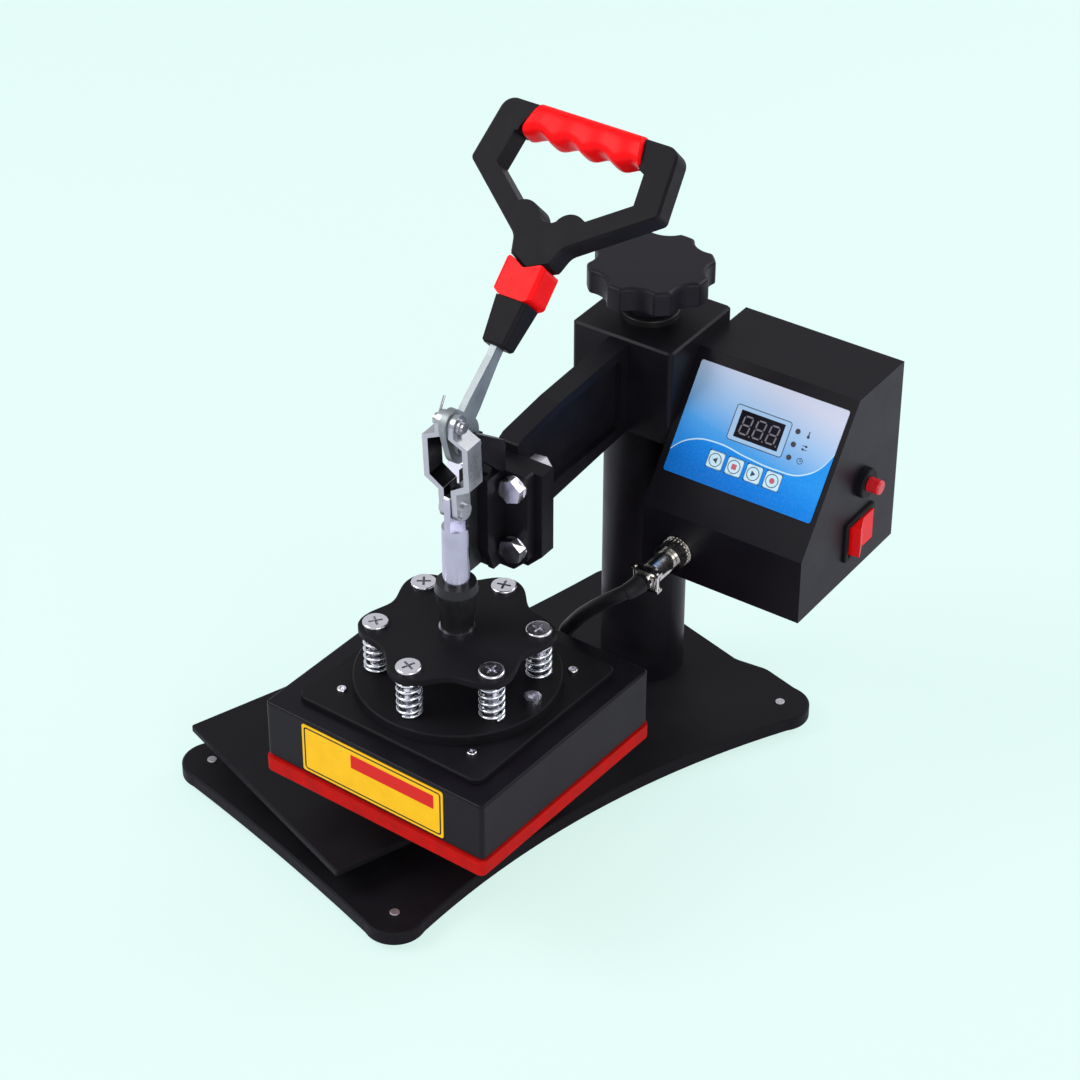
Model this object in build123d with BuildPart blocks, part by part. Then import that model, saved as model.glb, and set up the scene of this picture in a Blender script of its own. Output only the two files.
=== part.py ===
from build123d import *
from math import acos, asin, atan2, cos, degrees, hypot, pi, radians, sin, sqrt, tan
import os

os.makedirs("parts", exist_ok=True)

# A swing-away heat press for 15 x 15 cm transfers, standing on the bench with its front towards -Y.
# The column is its natural axis: base, head, heater and lower platen are each laid out in a
# frame of their own that stands on or swings about the column. All sizes are in millimetres.

# Where the column stands in the footprint, and how the parts are turned about it
column_x = -21.95
column_y = 95.45
head_turn = 15.54
heater_twist = -2.77
platen_turn = -4.81
reach = 188.7

# Base plate, feet and foot screws
foot_height = 4.0
plate_thickness = 8.0
foot_x = 86.0
rear_foot_y = 33.5
front_foot_y = -256.5
rear_left_foot_x = 68.0
ear_radius = 17.5
left_edge = 85.5
side_waist = 84.5
side_waist_y = -92.0
rear_waist = 43.0
rear_waist_x = 38.0
front_waist = -271.5
waist_blend = 14.0
plate_bevel = 1.0
foot_radius = 11.0
foot_screw_bore = 4.0
foot_screw_head = 5.6
foot_screw_head_height = 0.8

# Column and the plug that takes the pressure screw
column_diameter = 50.0
column_wall = 6.0
column_top = 235.0
column_plug_height = 26.0
column_bolt = 12.0

# Lower platen on its post
platen_size = 157.0
platen_thickness = 4.0
platen_top = 30.8
platen_bevel = 0.8
platen_corner = 1.5
post_diameter = 44.0
post_foot_diameter = 70.0
post_foot_height = 4.0

# Hub of the swing arm
hub_left = 31.5
hub_right = 34.5
hub_depth = 32.0
hub_bottom = 195.0
hub_top = 255.0
hub_corner_cut = 10.0
hub_edge = 3.0
hub_roof = 12.0
running_fit = 0.05

# Beam and head plate of the swing arm
beam_width = 13.0
beam_web = 5.0
beam_rear_top = 253.0
beam_middle = -100.0
beam_middle_top = 250.0
beam_front = -135.0
beam_front_top = 246.0
beam_rear_bottom = 195.5
beam_flange = 6.0
head_plate_rear = -139.0
head_plate_front = -150.0
head_plate_half = 29.0
head_plate_bottom = 176.5
head_plate_top = 238.0
head_plate_chamfer = 9.0

# Thrust collar, pressure screw and hand knob
collar_flange_diameter = 34.0
collar_flange_height = 4.0
collar_spigot_diameter = 24.0
pressure_screw_diameter = 16.0
knob_bottom = 273.0
knob_height = 15.0
knob_lobes = 8
knob_radius = 36.0
knob_valley_radius = 14.3
knob_valley_depth = 4.5
knob_neck_diameter = 26.0
knob_cap_diameter = 20.0

# Clamp casting on the head plate
flange_thickness = 7.0
flange_half = 24.5
clamp_bolt_x = 17.0
clamp_bolt_low = 192.0
clamp_bolt_high = 231.0
clamp_bolt_diameter = 8.0
clamp_washer_diameter = 14.5
clamp_washer_height = 1.4
clamp_head_flats = 13.0
clamp_head_height = 5.3
guide_half = 9.2
guide_front = -172.0
guide_bottom = 180.0
guide_top = 240.0
cheek_inner = 4.2
cheek_outer = 10.4
cheek_nose = 5.6

# Toggle: fixed pivot, lever pin and plunger pin as they stand with the press open
pivot_y = -182.0
pivot_z = 268.6
lever_pin_y = -191.6
lever_pin_z = 283.6
plunger_pin_z = 229.0
pivot_pin_diameter = 7.0
link_pin_diameter = 6.0
lever_thickness = 4.0
lever_hub_radius = 13.0
lever_eye_radius = 8.0
lever_boss_radius = 9.0
side_play = 0.2
link_width = 12.0
link_thickness = 3.5
link_top_inner = 2.3
link_bulge_inner = 11.0
link_bottom_inner = 2.3
link_bulge_low = 20.0
link_bulge_high = 33.0
link_slope = 4.4
link_shoulder = 10.1
split_wire = 1.4
split_lean = 30.0

# Handle: a flat stem that rises behind the toggle, with socket, sleeve, D-frame and grip
stem_y = -178.3
stem_z = 280.2
stem_angle = 43.7
stem_root_depth = 14.0
stem_depth = 8.5
stem_taper_start = 8.0
stem_taper_end = 34.0
stem_end = 103.0
socket_start = 40.0
socket_end = 65.5
socket_width = 20.5
socket_depth = 17.0
socket_tip_width = 15.0
socket_tip_depth = 13.0
sleeve_end = 88.5
sleeve_width = 25.0
sleeve_depth = 20.0
sleeve_notch = 6.0
frame_depth = 15.0
frame_waist = 31.0
frame_waist_s = 98.5
frame_side_half = 59.0
frame_side_s = 130.5
frame_top_half = 54.5
frame_top_s = 168.5
frame_limb = 16.0
frame_bar = 17.0
frame_bevel = 1.4
crotch_s = 109.6
grip_depth = 21.0
grip_top_s = 170.2
grip_low_s = 153.6
grip_top_half = 32.5
grip_low_half = 38.4
grip_bump = 5.0
grip_core_depth = 10.0
grip_core_top_s = 166.0
grip_core_low_s = 157.0

# Plunger: rod, guide tongue, tapered collar, washer, star plate, nut and springs
rod_diameter = 15.0
rod_top = 239.0
rod_tongue = 4.0
rod_shoulder = 217.3
guide_tongue_low = 183.0
guide_tongue_high = 237.0
guide_neck = 5.0
guide_head = 11.0
guide_head_front = 19.6
guide_head_thickness = 3.0
collar_top = 181.5
collar_top_diameter = 22.0
collar_waist_diameter = 24.0
collar_foot_diameter = 18.0
washer_diameter = 19.8
washer_height = 1.6
star_top = 150.2
star_thickness = 4.0
star_radius = 54.0
star_valley = 43.5
spring_circle = 44.3
spring_diameter = 14.8
spring_wire = 1.7
spring_curls = 6
spring_seat_gap = 0.3
rod_nut_flats = 22.0
rod_nut_height = 8.0

# Heater: disc, raised plate, cover, insulation, block, element and pad
disc_top = 121.0
disc_radius = 57.5
disc_thickness = 7.0
disc_bolt_circle = 49.5
disc_bolt_diameter = 6.0
spring_screw_diameter = 8.0
spring_screw_head = 14.5
spring_screw_head_height = 2.2
spring_recess = 8.0
recess_share = 0.18
raised_size = 125.0
raised_corner = 6.0
cover_top = 110.7
cover_bottom = 75.2
cover_width = 150.0
cover_length = 149.0
cover_sheet = 1.5
cover_corner = 2.5
small_screw_spacing = 90.0
small_screw_diameter = 4.0
small_screw_head = 5.6
small_screw_head_height = 1.6
small_recess = 3.2
pad_size = 152.0
pad_bottom = 63.9
pad_thickness = 9.6
pad_corner = 4.0
block_thickness = 16.0
block_gap = 0.4
element_diameter = 6.5
element_pitch = 26.0
element_passes = 5
insulation_thickness = 6.0
label_width = 97.5
label_height = 31.5
label_thickness = 0.4

# Control box beside the hub
box_left = 34.5
box_right = 137.0
box_back = 47.4
box_roof_front = -1.8
box_front = -57.4
box_top = 246.6
box_slope_foot = 170.7
box_bottom = 130.1
box_sheet = 1.5
box_tab = 12.0
box_screw_diameter = 3.0

# Operator panel on the slanted face: x from the head's middle plane, s down the slope
panel_left = 39.0
panel_right = 133.8
panel_start = 7.0
panel_end = 72.2
panel_thickness = 0.5
window_left = 72.6
window_width = 28.0
window_start = 25.9
window_height = 15.6
lamp_x = 108.7
lamp_start = 27.0
lamp_pitch = 7.5
lamp_diameter = 3.0
first_key_x = 67.7
key_pitch = 12.2
key_s = 57.4
key_size = 9.6
key_rise = 0.7
key_gap = 0.35

# Reset breaker and power rocker on the side cover
breaker_y = 8.5
breaker_z = 188.0
breaker_nut_diameter = 18.0
breaker_nut_height = 4.2
breaker_thread = 11.0
breaker_button_diameter = 8.6
breaker_button_reach = 7.5
rocker_y = 5.5
rocker_z = 155.8
rocker_bezel_length = 31.5
rocker_bezel_height = 25.5
rocker_bezel_thickness = 2.0
rocker_length = 24.5
rocker_height = 19.5
rocker_tilt = 11.0
rocker_gap = 0.4

# Chassis socket and plug on the front wall, and the inlet at the back
socket_x = 58.0
socket_z = 148.0
socket_flange_diameter = 19.0
socket_barrel_diameter = 12.0
plug_ring_diameter = 17.4
plug_ring_length = 9.0
plug_shell_diameter = 12.6
plug_shell_length = 20.0
plug_saddle_length = 10.0
saddle_wall = 0.8
inlet_x = 104.0
inlet_z = 152.0
inlet_width = 28.0
inlet_height = 20.5
inlet_depth = 17.0
inlet_flange_width = 50.0
inlet_flange_height = 25.0
inlet_flange_thickness = 3.0

# Heater cord from the plug into the elbow on the heater's rear wall
cord_diameter = 8.4
elbow_diameter = 13.5
elbow_bore = 9.4
elbow_top = 99.0
elbow_x = 12.0


def frame(x, y, turn):
    """Upright frame with its origin on the bench at x, y and its X axis turned about Z."""
    across = (cos(radians(turn)), sin(radians(turn)), 0)
    return Plane(origin=(x, y, 0), x_dir=across, z_dir=(0, 0, 1))


def level(home, z, x=0.0, y=0.0):
    """Horizontal plane of a frame at height z."""
    return Plane(origin=home.from_local_coords(Vector(x, y, z)), x_dir=home.x_dir, z_dir=(0, 0, 1))


def side(home, x, y=0.0, z=0.0):
    """Upright plane of a frame that faces its right: local x runs back and local y up."""
    return Plane(origin=home.from_local_coords(Vector(x, y, z)), x_dir=home.y_dir, z_dir=home.x_dir)


def front(home, y, x=0.0, z=0.0):
    """Upright plane of a frame that faces the operator: local x runs right and local y up."""
    return Plane(origin=home.from_local_coords(Vector(x, y, z)), x_dir=home.x_dir, z_dir=-home.y_dir)


def rear(home, y, x=0.0, z=0.0):
    """Upright plane of a frame that faces its back: local x runs left and local y up."""
    return Plane(origin=home.from_local_coords(Vector(x, y, z)), x_dir=-home.x_dir, z_dir=home.y_dir)


def on_circle(x, y, radius, angle):
    """Point at an angle in degrees on a circle about x, y."""
    return (x + radius * cos(radians(angle)), y + radius * sin(radians(angle)))


def save(piece, label):
    """Name a finished piece and write it out."""
    piece.part.label = label
    export_step(piece.part, f"parts/{label}.step")


def facing(piece, direction):
    """The piece's outermost flat face that looks in a direction."""
    towards = Vector(*direction)
    flats = [f for f in piece.faces().filter_by(GeomType.PLANE) if f.normal_at().dot(towards) > 0.999]
    return max(flats, key=lambda f: f.center().dot(towards))


base = frame(column_x, column_y, 0)
head = frame(column_x, column_y, head_turn)
plunger_foot = head.from_local_coords(Vector(0, -reach, 0))
plunger = frame(plunger_foot.X, plunger_foot.Y, head_turn)
heater = frame(plunger_foot.X, plunger_foot.Y, head_turn + heater_twist)
platen_foot = frame(column_x, column_y, platen_turn).from_local_coords(Vector(0, -reach, 0))
platen = frame(platen_foot.X, platen_foot.Y, platen_turn)

plate_top = foot_height + plate_thickness
foot_spots = [
    (-foot_x, front_foot_y),
    (foot_x, front_foot_y),
    (foot_x, rear_foot_y),
    (-rear_left_foot_x, rear_foot_y),
]

# Base plate: round ears over the front feet and the right rear foot, a plain corner at the left rear
ear_start = on_circle(foot_x, rear_foot_y, ear_radius, -28)
ear_end = on_circle(foot_x, rear_foot_y, ear_radius, 105)
front_side = on_circle(foot_x, front_foot_y, ear_radius, 28)
front_end = on_circle(foot_x, front_foot_y, ear_radius, -105)
with BuildPart() as base_plate:
    with BuildSketch(level(base, foot_height)):
        with BuildLine():
            for hand, row, foot_y in ((1, 1, rear_foot_y), (1, -1, front_foot_y), (-1, -1, front_foot_y)):
                ear = [on_circle(0, 0, ear_radius, angle) for angle in (-28, 40, 105)]
                ThreePointArc([(hand * (foot_x + x), foot_y + row * y) for x, y in ear])
            ThreePointArc(ear_start, (side_waist, side_waist_y), front_side)
            ThreePointArc(front_end, (0, front_waist), (-front_end[0], front_end[1]))
            ThreePointArc((-front_side[0], front_side[1]), (-side_waist, side_waist_y), (-left_edge, ear_end[1]))
            Polyline(
                (-left_edge, ear_end[1]),
                (-rear_waist_x * 1.5, ear_end[1]),
                (-rear_waist_x, rear_waist),
                (rear_waist_x, rear_waist),
                (rear_waist_x * 1.5, ear_end[1]),
                ear_end,
            )
        make_face()
        fillet(vertices(), radius=waist_blend)
    extrude(amount=plate_thickness)
    chamfer(facing(base_plate, (0, 0, 1)).edges(), length=plate_bevel)
    with Locations(level(base, plate_top)):
        with Locations(*foot_spots):
            Hole(radius=foot_screw_bore / 2)
        Hole(radius=column_bolt / 2)
        with Locations(base.to_local_coords(platen_foot)):
            Hole(radius=foot_screw_bore / 2)
save(base_plate, "base_plate")

# Feet: short rubber cones, wider at the plate, bored for the end of the foot screw
with BuildPart() as rubber_feet:
    with BuildSketch(level(base, 0)):
        with Locations(*foot_spots):
            Circle(foot_radius)
            Circle(foot_screw_bore / 2, mode=Mode.SUBTRACT)
    extrude(amount=foot_height)
    chamfer(rubber_feet.edges().group_by(Axis.Z)[0].filter_by(lambda e: e.radius > foot_screw_bore), length=1.2)
save(rubber_feet, "rubber_feet")

# Column: a steel tube that stands on the plate, with a threaded plug in its upper end
with BuildPart() as column:
    with BuildSketch(level(base, plate_top)):
        Circle(column_diameter / 2)
    extrude(amount=column_top - plate_top)
    with BuildSketch(level(base, plate_top + column_wall)):
        Circle(column_diameter / 2 - column_wall)
    extrude(amount=column_top - plate_top - column_wall, mode=Mode.SUBTRACT)
    with Locations(level(base, plate_top + column_wall)):
        Hole(radius=column_bolt / 2)
    chamfer(column.edges().group_by(Axis.Z)[-1].sort_by(SortBy.RADIUS)[-1], length=1.0)
save(column, "column")

with BuildPart() as column_plug:
    with BuildSketch(level(base, column_top - column_plug_height)):
        Circle(column_diameter / 2 - column_wall)
        Circle(pressure_screw_diameter / 2 + running_fit, mode=Mode.SUBTRACT)
    extrude(amount=column_plug_height)
save(column_plug, "column_plug")

# Base screws: pan heads on the plate with shanks down into the feet, and the column's bolt with its
# hexagon head under the plate and its nut inside the foot of the tube
with BuildPart() as base_screws:
    with BuildSketch(level(base, foot_height / 2)):
        with Locations(*foot_spots):
            Circle(foot_screw_bore / 2)
    extrude(amount=plate_top - foot_height / 2)
    with BuildSketch(level(base, plate_top)):
        with Locations(*foot_spots):
            Circle(foot_screw_head / 2)
    extrude(amount=foot_screw_head_height)
    fillet(base_screws.edges().group_by(Axis.Z)[-1], radius=foot_screw_head_height * 0.45)
    with BuildSketch(level(base, foot_height)):
        Circle(column_bolt / 2)
    extrude(amount=plate_thickness + column_wall + column_bolt * 0.9)
    with BuildSketch(level(base, foot_height)):
        RegularPolygon(column_bolt * 0.8, 6)
    extrude(amount=-foot_height * 0.75)
    with BuildSketch(level(base, plate_top + column_wall)):
        RegularPolygon(column_bolt * 0.85, 6)
    extrude(amount=column_bolt * 0.7)
save(base_screws, "base_screws")

# Post: a turned foot and a thick stud that carry the lower platen
platen_bottom = platen_top - platen_thickness
with BuildPart() as platen_post:
    with BuildSketch(level(platen, plate_top)):
        Circle(post_foot_diameter / 2)
    extrude(amount=post_foot_height)
    chamfer(platen_post.edges().group_by(Axis.Z)[-1], length=1.0)
    with BuildSketch(level(platen, plate_top + post_foot_height)):
        Circle(post_diameter / 2)
    extrude(amount=platen_bottom - plate_top - post_foot_height)
save(platen_post, "platen_post")

with BuildPart() as lower_platen:
    with BuildSketch(level(platen, platen_bottom)):
        RectangleRounded(platen_size, platen_size, platen_corner)
    extrude(amount=platen_thickness)
    chamfer(facing(lower_platen, (0, 0, 1)).edges(), length=platen_bevel)
save(lower_platen, "lower_platen")

# Swing arm: hub block, I-section beam and head plate are one casting
hub_bore = column_diameter / 2 + running_fit
beam_pocket = (beam_width - beam_web) / 2
with BuildPart() as swing_arm:
    with BuildSketch(level(head, hub_bottom)):
        with BuildLine():
            Polyline(
                (-hub_left, -hub_depth),
                (hub_right, -hub_depth),
                (hub_right, hub_depth),
                (-hub_left + hub_corner_cut, hub_depth),
                (-hub_left, hub_depth - hub_corner_cut),
                close=True,
            )
        make_face()
    extrude(amount=hub_top - hub_bottom)
    fillet(swing_arm.edges().filter_by(Axis.Z), radius=hub_edge)
    chamfer(facing(swing_arm, (0, 0, 1)).edges(), length=1.2)
    with BuildSketch(front(head, head_plate_front)):
        with BuildLine():
            Polyline(
                (-head_plate_half, head_plate_top),
                (head_plate_half, head_plate_top),
                (head_plate_half, head_plate_bottom + head_plate_chamfer),
                (head_plate_half - head_plate_chamfer, head_plate_bottom),
                (-head_plate_half + head_plate_chamfer, head_plate_bottom),
                (-head_plate_half, head_plate_bottom + head_plate_chamfer),
                close=True,
            )
        make_face()
    extrude(amount=head_plate_front - head_plate_rear)
    with BuildSketch(side(head, 0)):
        with BuildLine():
            Polyline(
                (-hub_depth + 2, beam_rear_top),
                (beam_middle, beam_middle_top),
                (beam_front, beam_front_top),
            )
            FilletPolyline(
                (beam_front, beam_front_top),
                (head_plate_rear - 1, beam_front_top - 2.5),
                (head_plate_rear - 1, head_plate_bottom + 12),
                radius=2.0,
            )
            Polyline(
                (head_plate_rear - 1, head_plate_bottom + 12),
                (head_plate_rear, head_plate_bottom + 12),
                (-hub_depth + 2, beam_rear_bottom),
                (-hub_depth + 2, beam_rear_top),
            )
        make_face()
    extrude(amount=beam_width / 2, both=True)
    for hand in (1, -1):
        with BuildSketch(side(head, hand * beam_width / 2)):
            with BuildLine():
                FilletPolyline(
                    (-hub_depth - 7, beam_rear_top - beam_flange - 1),
                    (beam_middle, beam_middle_top - beam_flange),
                    (beam_front + 7, beam_front_top - beam_flange),
                    (beam_front + 5, beam_rear_bottom + beam_flange),
                    (-hub_depth - 7, beam_rear_bottom + beam_flange),
                    close=True,
                    radius=5.0,
                )
            make_face()
        extrude(amount=-hand * beam_pocket, mode=Mode.SUBTRACT)
    with BuildSketch(level(head, hub_bottom)):
        Circle(hub_bore)
    extrude(amount=hub_top - hub_roof - hub_bottom, mode=Mode.SUBTRACT)
    with BuildSketch(level(head, hub_top)):
        Circle(collar_spigot_diameter / 2 + running_fit)
    extrude(amount=-hub_roof, mode=Mode.SUBTRACT)
    with Locations(front(head, head_plate_front)):
        with Locations(*[(x, z) for x in (-clamp_bolt_x, clamp_bolt_x) for z in (clamp_bolt_low, clamp_bolt_high)]):
            Hole(radius=clamp_bolt_diameter / 2, depth=head_plate_rear - head_plate_front)
save(swing_arm, "swing_arm")

# Thrust collar: carries the hub, and turns on the pressure screw
hub_seat = hub_top
with BuildPart() as thrust_collar:
    with BuildSketch(level(base, hub_top - hub_roof)):
        Circle(collar_spigot_diameter / 2)
    extrude(amount=hub_roof)
    with BuildSketch(level(base, hub_seat)):
        Circle(collar_flange_diameter / 2)
    extrude(amount=collar_flange_height)
    fillet(thrust_collar.edges().group_by(Axis.Z)[-1], radius=1.0)
    with Locations(level(base, hub_seat + collar_flange_height)):
        Hole(radius=pressure_screw_diameter / 2 + running_fit)
save(thrust_collar, "thrust_collar")

# Pressure screw: plain shank with a retaining shoulder under the hub's roof
screw_low = column_top - column_plug_height + 2
shoulder_top = hub_top - hub_roof - 0.3
with BuildPart() as pressure_screw:
    with BuildSketch(level(base, screw_low)):
        Circle(pressure_screw_diameter / 2)
    extrude(amount=knob_bottom + knob_height / 2 - screw_low)
    chamfer(pressure_screw.edges().group_by(Axis.Z)[0], length=1.5)
    with BuildSketch(level(base, shoulder_top)):
        Circle(collar_spigot_diameter / 2 - 1.5)
    extrude(amount=-2.2)
save(pressure_screw, "pressure_screw")

# Hand knob: eight narrow lobes with wide shallow valleys between them
valley_centre = knob_radius - knob_valley_depth + knob_valley_radius
with BuildPart() as star_knob:
    with BuildSketch(level(base, knob_bottom)):
        Circle(knob_radius)
        with PolarLocations(valley_centre, knob_lobes, start_angle=head_turn - 25):
            Circle(knob_valley_radius, mode=Mode.SUBTRACT)
        fillet(vertices(), radius=2.6)
    extrude(amount=knob_height)
    fillet(star_knob.edges().group_by(Axis.Z)[-1], radius=2.4)
    fillet(star_knob.edges().group_by(Axis.Z)[0], radius=1.4)
    with BuildSketch(level(base, knob_bottom)):
        Circle(knob_neck_diameter / 2)
    extrude(amount=hub_seat + collar_flange_height + spring_seat_gap - knob_bottom)
    with BuildSketch(level(base, knob_bottom + knob_height / 2)):
        Circle(pressure_screw_diameter / 2)
    extrude(amount=-knob_height * 3, mode=Mode.SUBTRACT)
save(star_knob, "star_knob")

# Clamp casting: flange, guide block with a T-slot, and two cheeks that hold the fixed pivot
flange_front = head_plate_front - flange_thickness
slot_front = guide_head_front - reach
with BuildPart() as clamp_body:
    with BuildSketch(front(head, flange_front)):
        with BuildLine():
            FilletPolyline(
                (-flange_half, head_plate_top + 1),
                (flange_half, head_plate_top + 1),
                (flange_half, head_plate_bottom + head_plate_chamfer),
                (flange_half - head_plate_chamfer, head_plate_bottom),
                (-flange_half + head_plate_chamfer, head_plate_bottom),
                (-flange_half, head_plate_bottom + head_plate_chamfer),
                close=True,
                radius=3.0,
            )
        make_face()
    extrude(amount=-flange_thickness)
    with BuildSketch(side(head, 0)):
        with BuildLine():
            Polyline(
                (flange_front + 1, guide_top),
                (guide_front, guide_top),
                (guide_front, guide_bottom + 14),
                (guide_front + 5, guide_bottom),
                (flange_front + 1, guide_bottom),
                close=True,
            )
        make_face()
    extrude(amount=guide_half, both=True)
    with BuildSketch(side(head, 0)):
        with Locations((pivot_y, pivot_z)):
            Circle(cheek_nose)
        with BuildLine():
            Polyline(
                (guide_front + 12, guide_top - 0.5),
                (flange_front, guide_top - 0.5),
                (flange_front, guide_top + 18),
                close=True,
            )
        make_face()
        make_hull()
    extrude(amount=cheek_outer, both=True)
    with BuildSketch(side(head, 0)):
        with Locations((guide_front - 15, pivot_z)):
            Rectangle(60, 2 * (pivot_z - guide_top))
    extrude(amount=cheek_inner, both=True, mode=Mode.SUBTRACT)
    with BuildSketch(level(head, guide_bottom)):
        with Locations((0, (guide_front - 1 + slot_front) / 2)):
            Rectangle(guide_neck + 2 * side_play, slot_front - guide_front + 3)
        with Locations((0, slot_front + guide_head_thickness / 2)):
            Rectangle(guide_head + 2 * side_play, guide_head_thickness + 2 * side_play)
    extrude(amount=guide_top - guide_bottom, mode=Mode.SUBTRACT)
    with Locations(side(head, cheek_outer)):
        with Locations((pivot_y, pivot_z)):
            Hole(radius=pivot_pin_diameter / 2)
    with Locations(front(head, flange_front)):
        with Locations(*[(x, z) for x in (-clamp_bolt_x, clamp_bolt_x) for z in (clamp_bolt_low, clamp_bolt_high)]):
            Hole(radius=clamp_bolt_diameter / 2, depth=flange_thickness)
save(clamp_body, "clamp_body")

# Clamp bolts: hexagon heads on washers in front, nuts behind the head plate
with BuildPart() as clamp_bolts:
    for x in (-clamp_bolt_x, clamp_bolt_x):
        for z in (clamp_bolt_low, clamp_bolt_high):
            with BuildSketch(front(head, flange_front, x, z)):
                Circle(clamp_washer_diameter / 2)
            extrude(amount=clamp_washer_height)
            with BuildSketch(front(head, flange_front - clamp_washer_height, x, z)):
                RegularPolygon(clamp_head_flats / 2, 6, major_radius=False, rotation=20)
            extrude(amount=clamp_head_height)
            with BuildSketch(front(head, flange_front, x, z)):
                Circle(clamp_bolt_diameter / 2)
            extrude(amount=-flange_thickness - (head_plate_rear - head_plate_front) - clamp_bolt_diameter)
            with BuildSketch(front(head, head_plate_rear, x, z)):
                RegularPolygon(clamp_head_flats / 2, 6, major_radius=False, rotation=5)
            extrude(amount=-clamp_bolt_diameter * 0.8)
save(clamp_bolts, "clamp_bolts")

# Fixed pivot pin: pressed through both cheeks, flush with them on the outside
with BuildPart() as pivot_pin:
    with BuildSketch(side(head, 0)):
        with Locations((pivot_y, pivot_z)):
            Circle(pivot_pin_diameter / 2)
    extrude(amount=cheek_outer + 0.2, both=True)
    chamfer(pivot_pin.edges(), length=0.5)
save(pivot_pin, "pivot_pin")

# Lever plate: hub on the fixed pivot, eye for the links, and the stem of the handle
stem = Plane(
    origin=head.from_local_coords(Vector(0, stem_y, stem_z)),
    x_dir=head.x_dir,
    z_dir=head.y_dir * -sin(radians(stem_angle)) + Vector(0, 0, cos(radians(stem_angle))),
)


def stem_point(s, offset):
    """Point y, z beside the stem's axis: s along it, offset to its upper left."""
    along = (cos(radians(stem_angle)), sin(radians(stem_angle)))
    return (stem_y + s * along[0] - offset * along[1], stem_z + s * along[1] + offset * along[0])


with BuildPart() as lever_plate:
    with BuildSketch(side(head, 0)):
        with Locations((pivot_y, pivot_z)):
            Circle(lever_hub_radius)
        with Locations((lever_pin_y, lever_pin_z)):
            Circle(lever_eye_radius)
        make_hull()
    extrude(amount=lever_thickness / 2, both=True)
    with BuildSketch(side(head, 0)):
        with BuildLine():
            Polyline(
                stem_point(-6, stem_root_depth / 2),
                stem_point(stem_taper_start, stem_root_depth / 2),
                stem_point(stem_taper_end, stem_depth / 2),
                stem_point(stem_end, stem_depth / 2),
                stem_point(stem_end, -stem_depth / 2),
                stem_point(stem_taper_end, -stem_depth / 2),
                stem_point(stem_taper_start, -stem_root_depth / 2),
                stem_point(-6, -stem_root_depth / 2),
                close=True,
            )
        make_face()
    extrude(amount=lever_thickness / 2, both=True)
    with BuildSketch(side(head, 0)):
        with Locations((pivot_y, pivot_z)):
            Circle(lever_boss_radius)
    extrude(amount=cheek_inner - side_play, both=True)
    with Locations(side(head, cheek_inner)):
        with Locations((pivot_y, pivot_z)):
            Hole(radius=pivot_pin_diameter / 2 + running_fit)
        with Locations((lever_pin_y, lever_pin_z)):
            Hole(radius=link_pin_diameter / 2)
save(lever_plate, "lever_plate")

# Lever pin with its split pin: fixed in the lever, the links turn on its ends
lever_pin_end = link_top_inner + link_thickness + side_play
with BuildPart() as lever_pin:
    with BuildSketch(side(head, 0)):
        with Locations((lever_pin_y, lever_pin_z)):
            Circle(link_pin_diameter / 2)
    extrude(amount=lever_pin_end + 3.4, both=True)
    with BuildSketch(side(head, lever_pin_end)):
        with Locations((lever_pin_y, lever_pin_z)):
            Circle(link_pin_diameter / 2 + 1.2)
    extrude(amount=1.6)
    with BuildSketch(side(head, -lever_pin_end)):
        with Locations((lever_pin_y, lever_pin_z)):
            Circle(link_pin_diameter / 2 + 1.2)
    extrude(amount=-0.9)
    split_way = head.y_dir * sin(radians(split_lean)) + Vector(0, 0, cos(radians(split_lean)))
    split_middle = head.from_local_coords(Vector(-lever_pin_end - 2.0, lever_pin_y, lever_pin_z))
    with BuildSketch(Plane(origin=split_middle - split_way * 4.5, x_dir=head.x_dir, z_dir=split_way)):
        Circle(split_wire / 2)
    extrude(amount=17)
save(lever_pin, "lever_pin")

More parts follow.
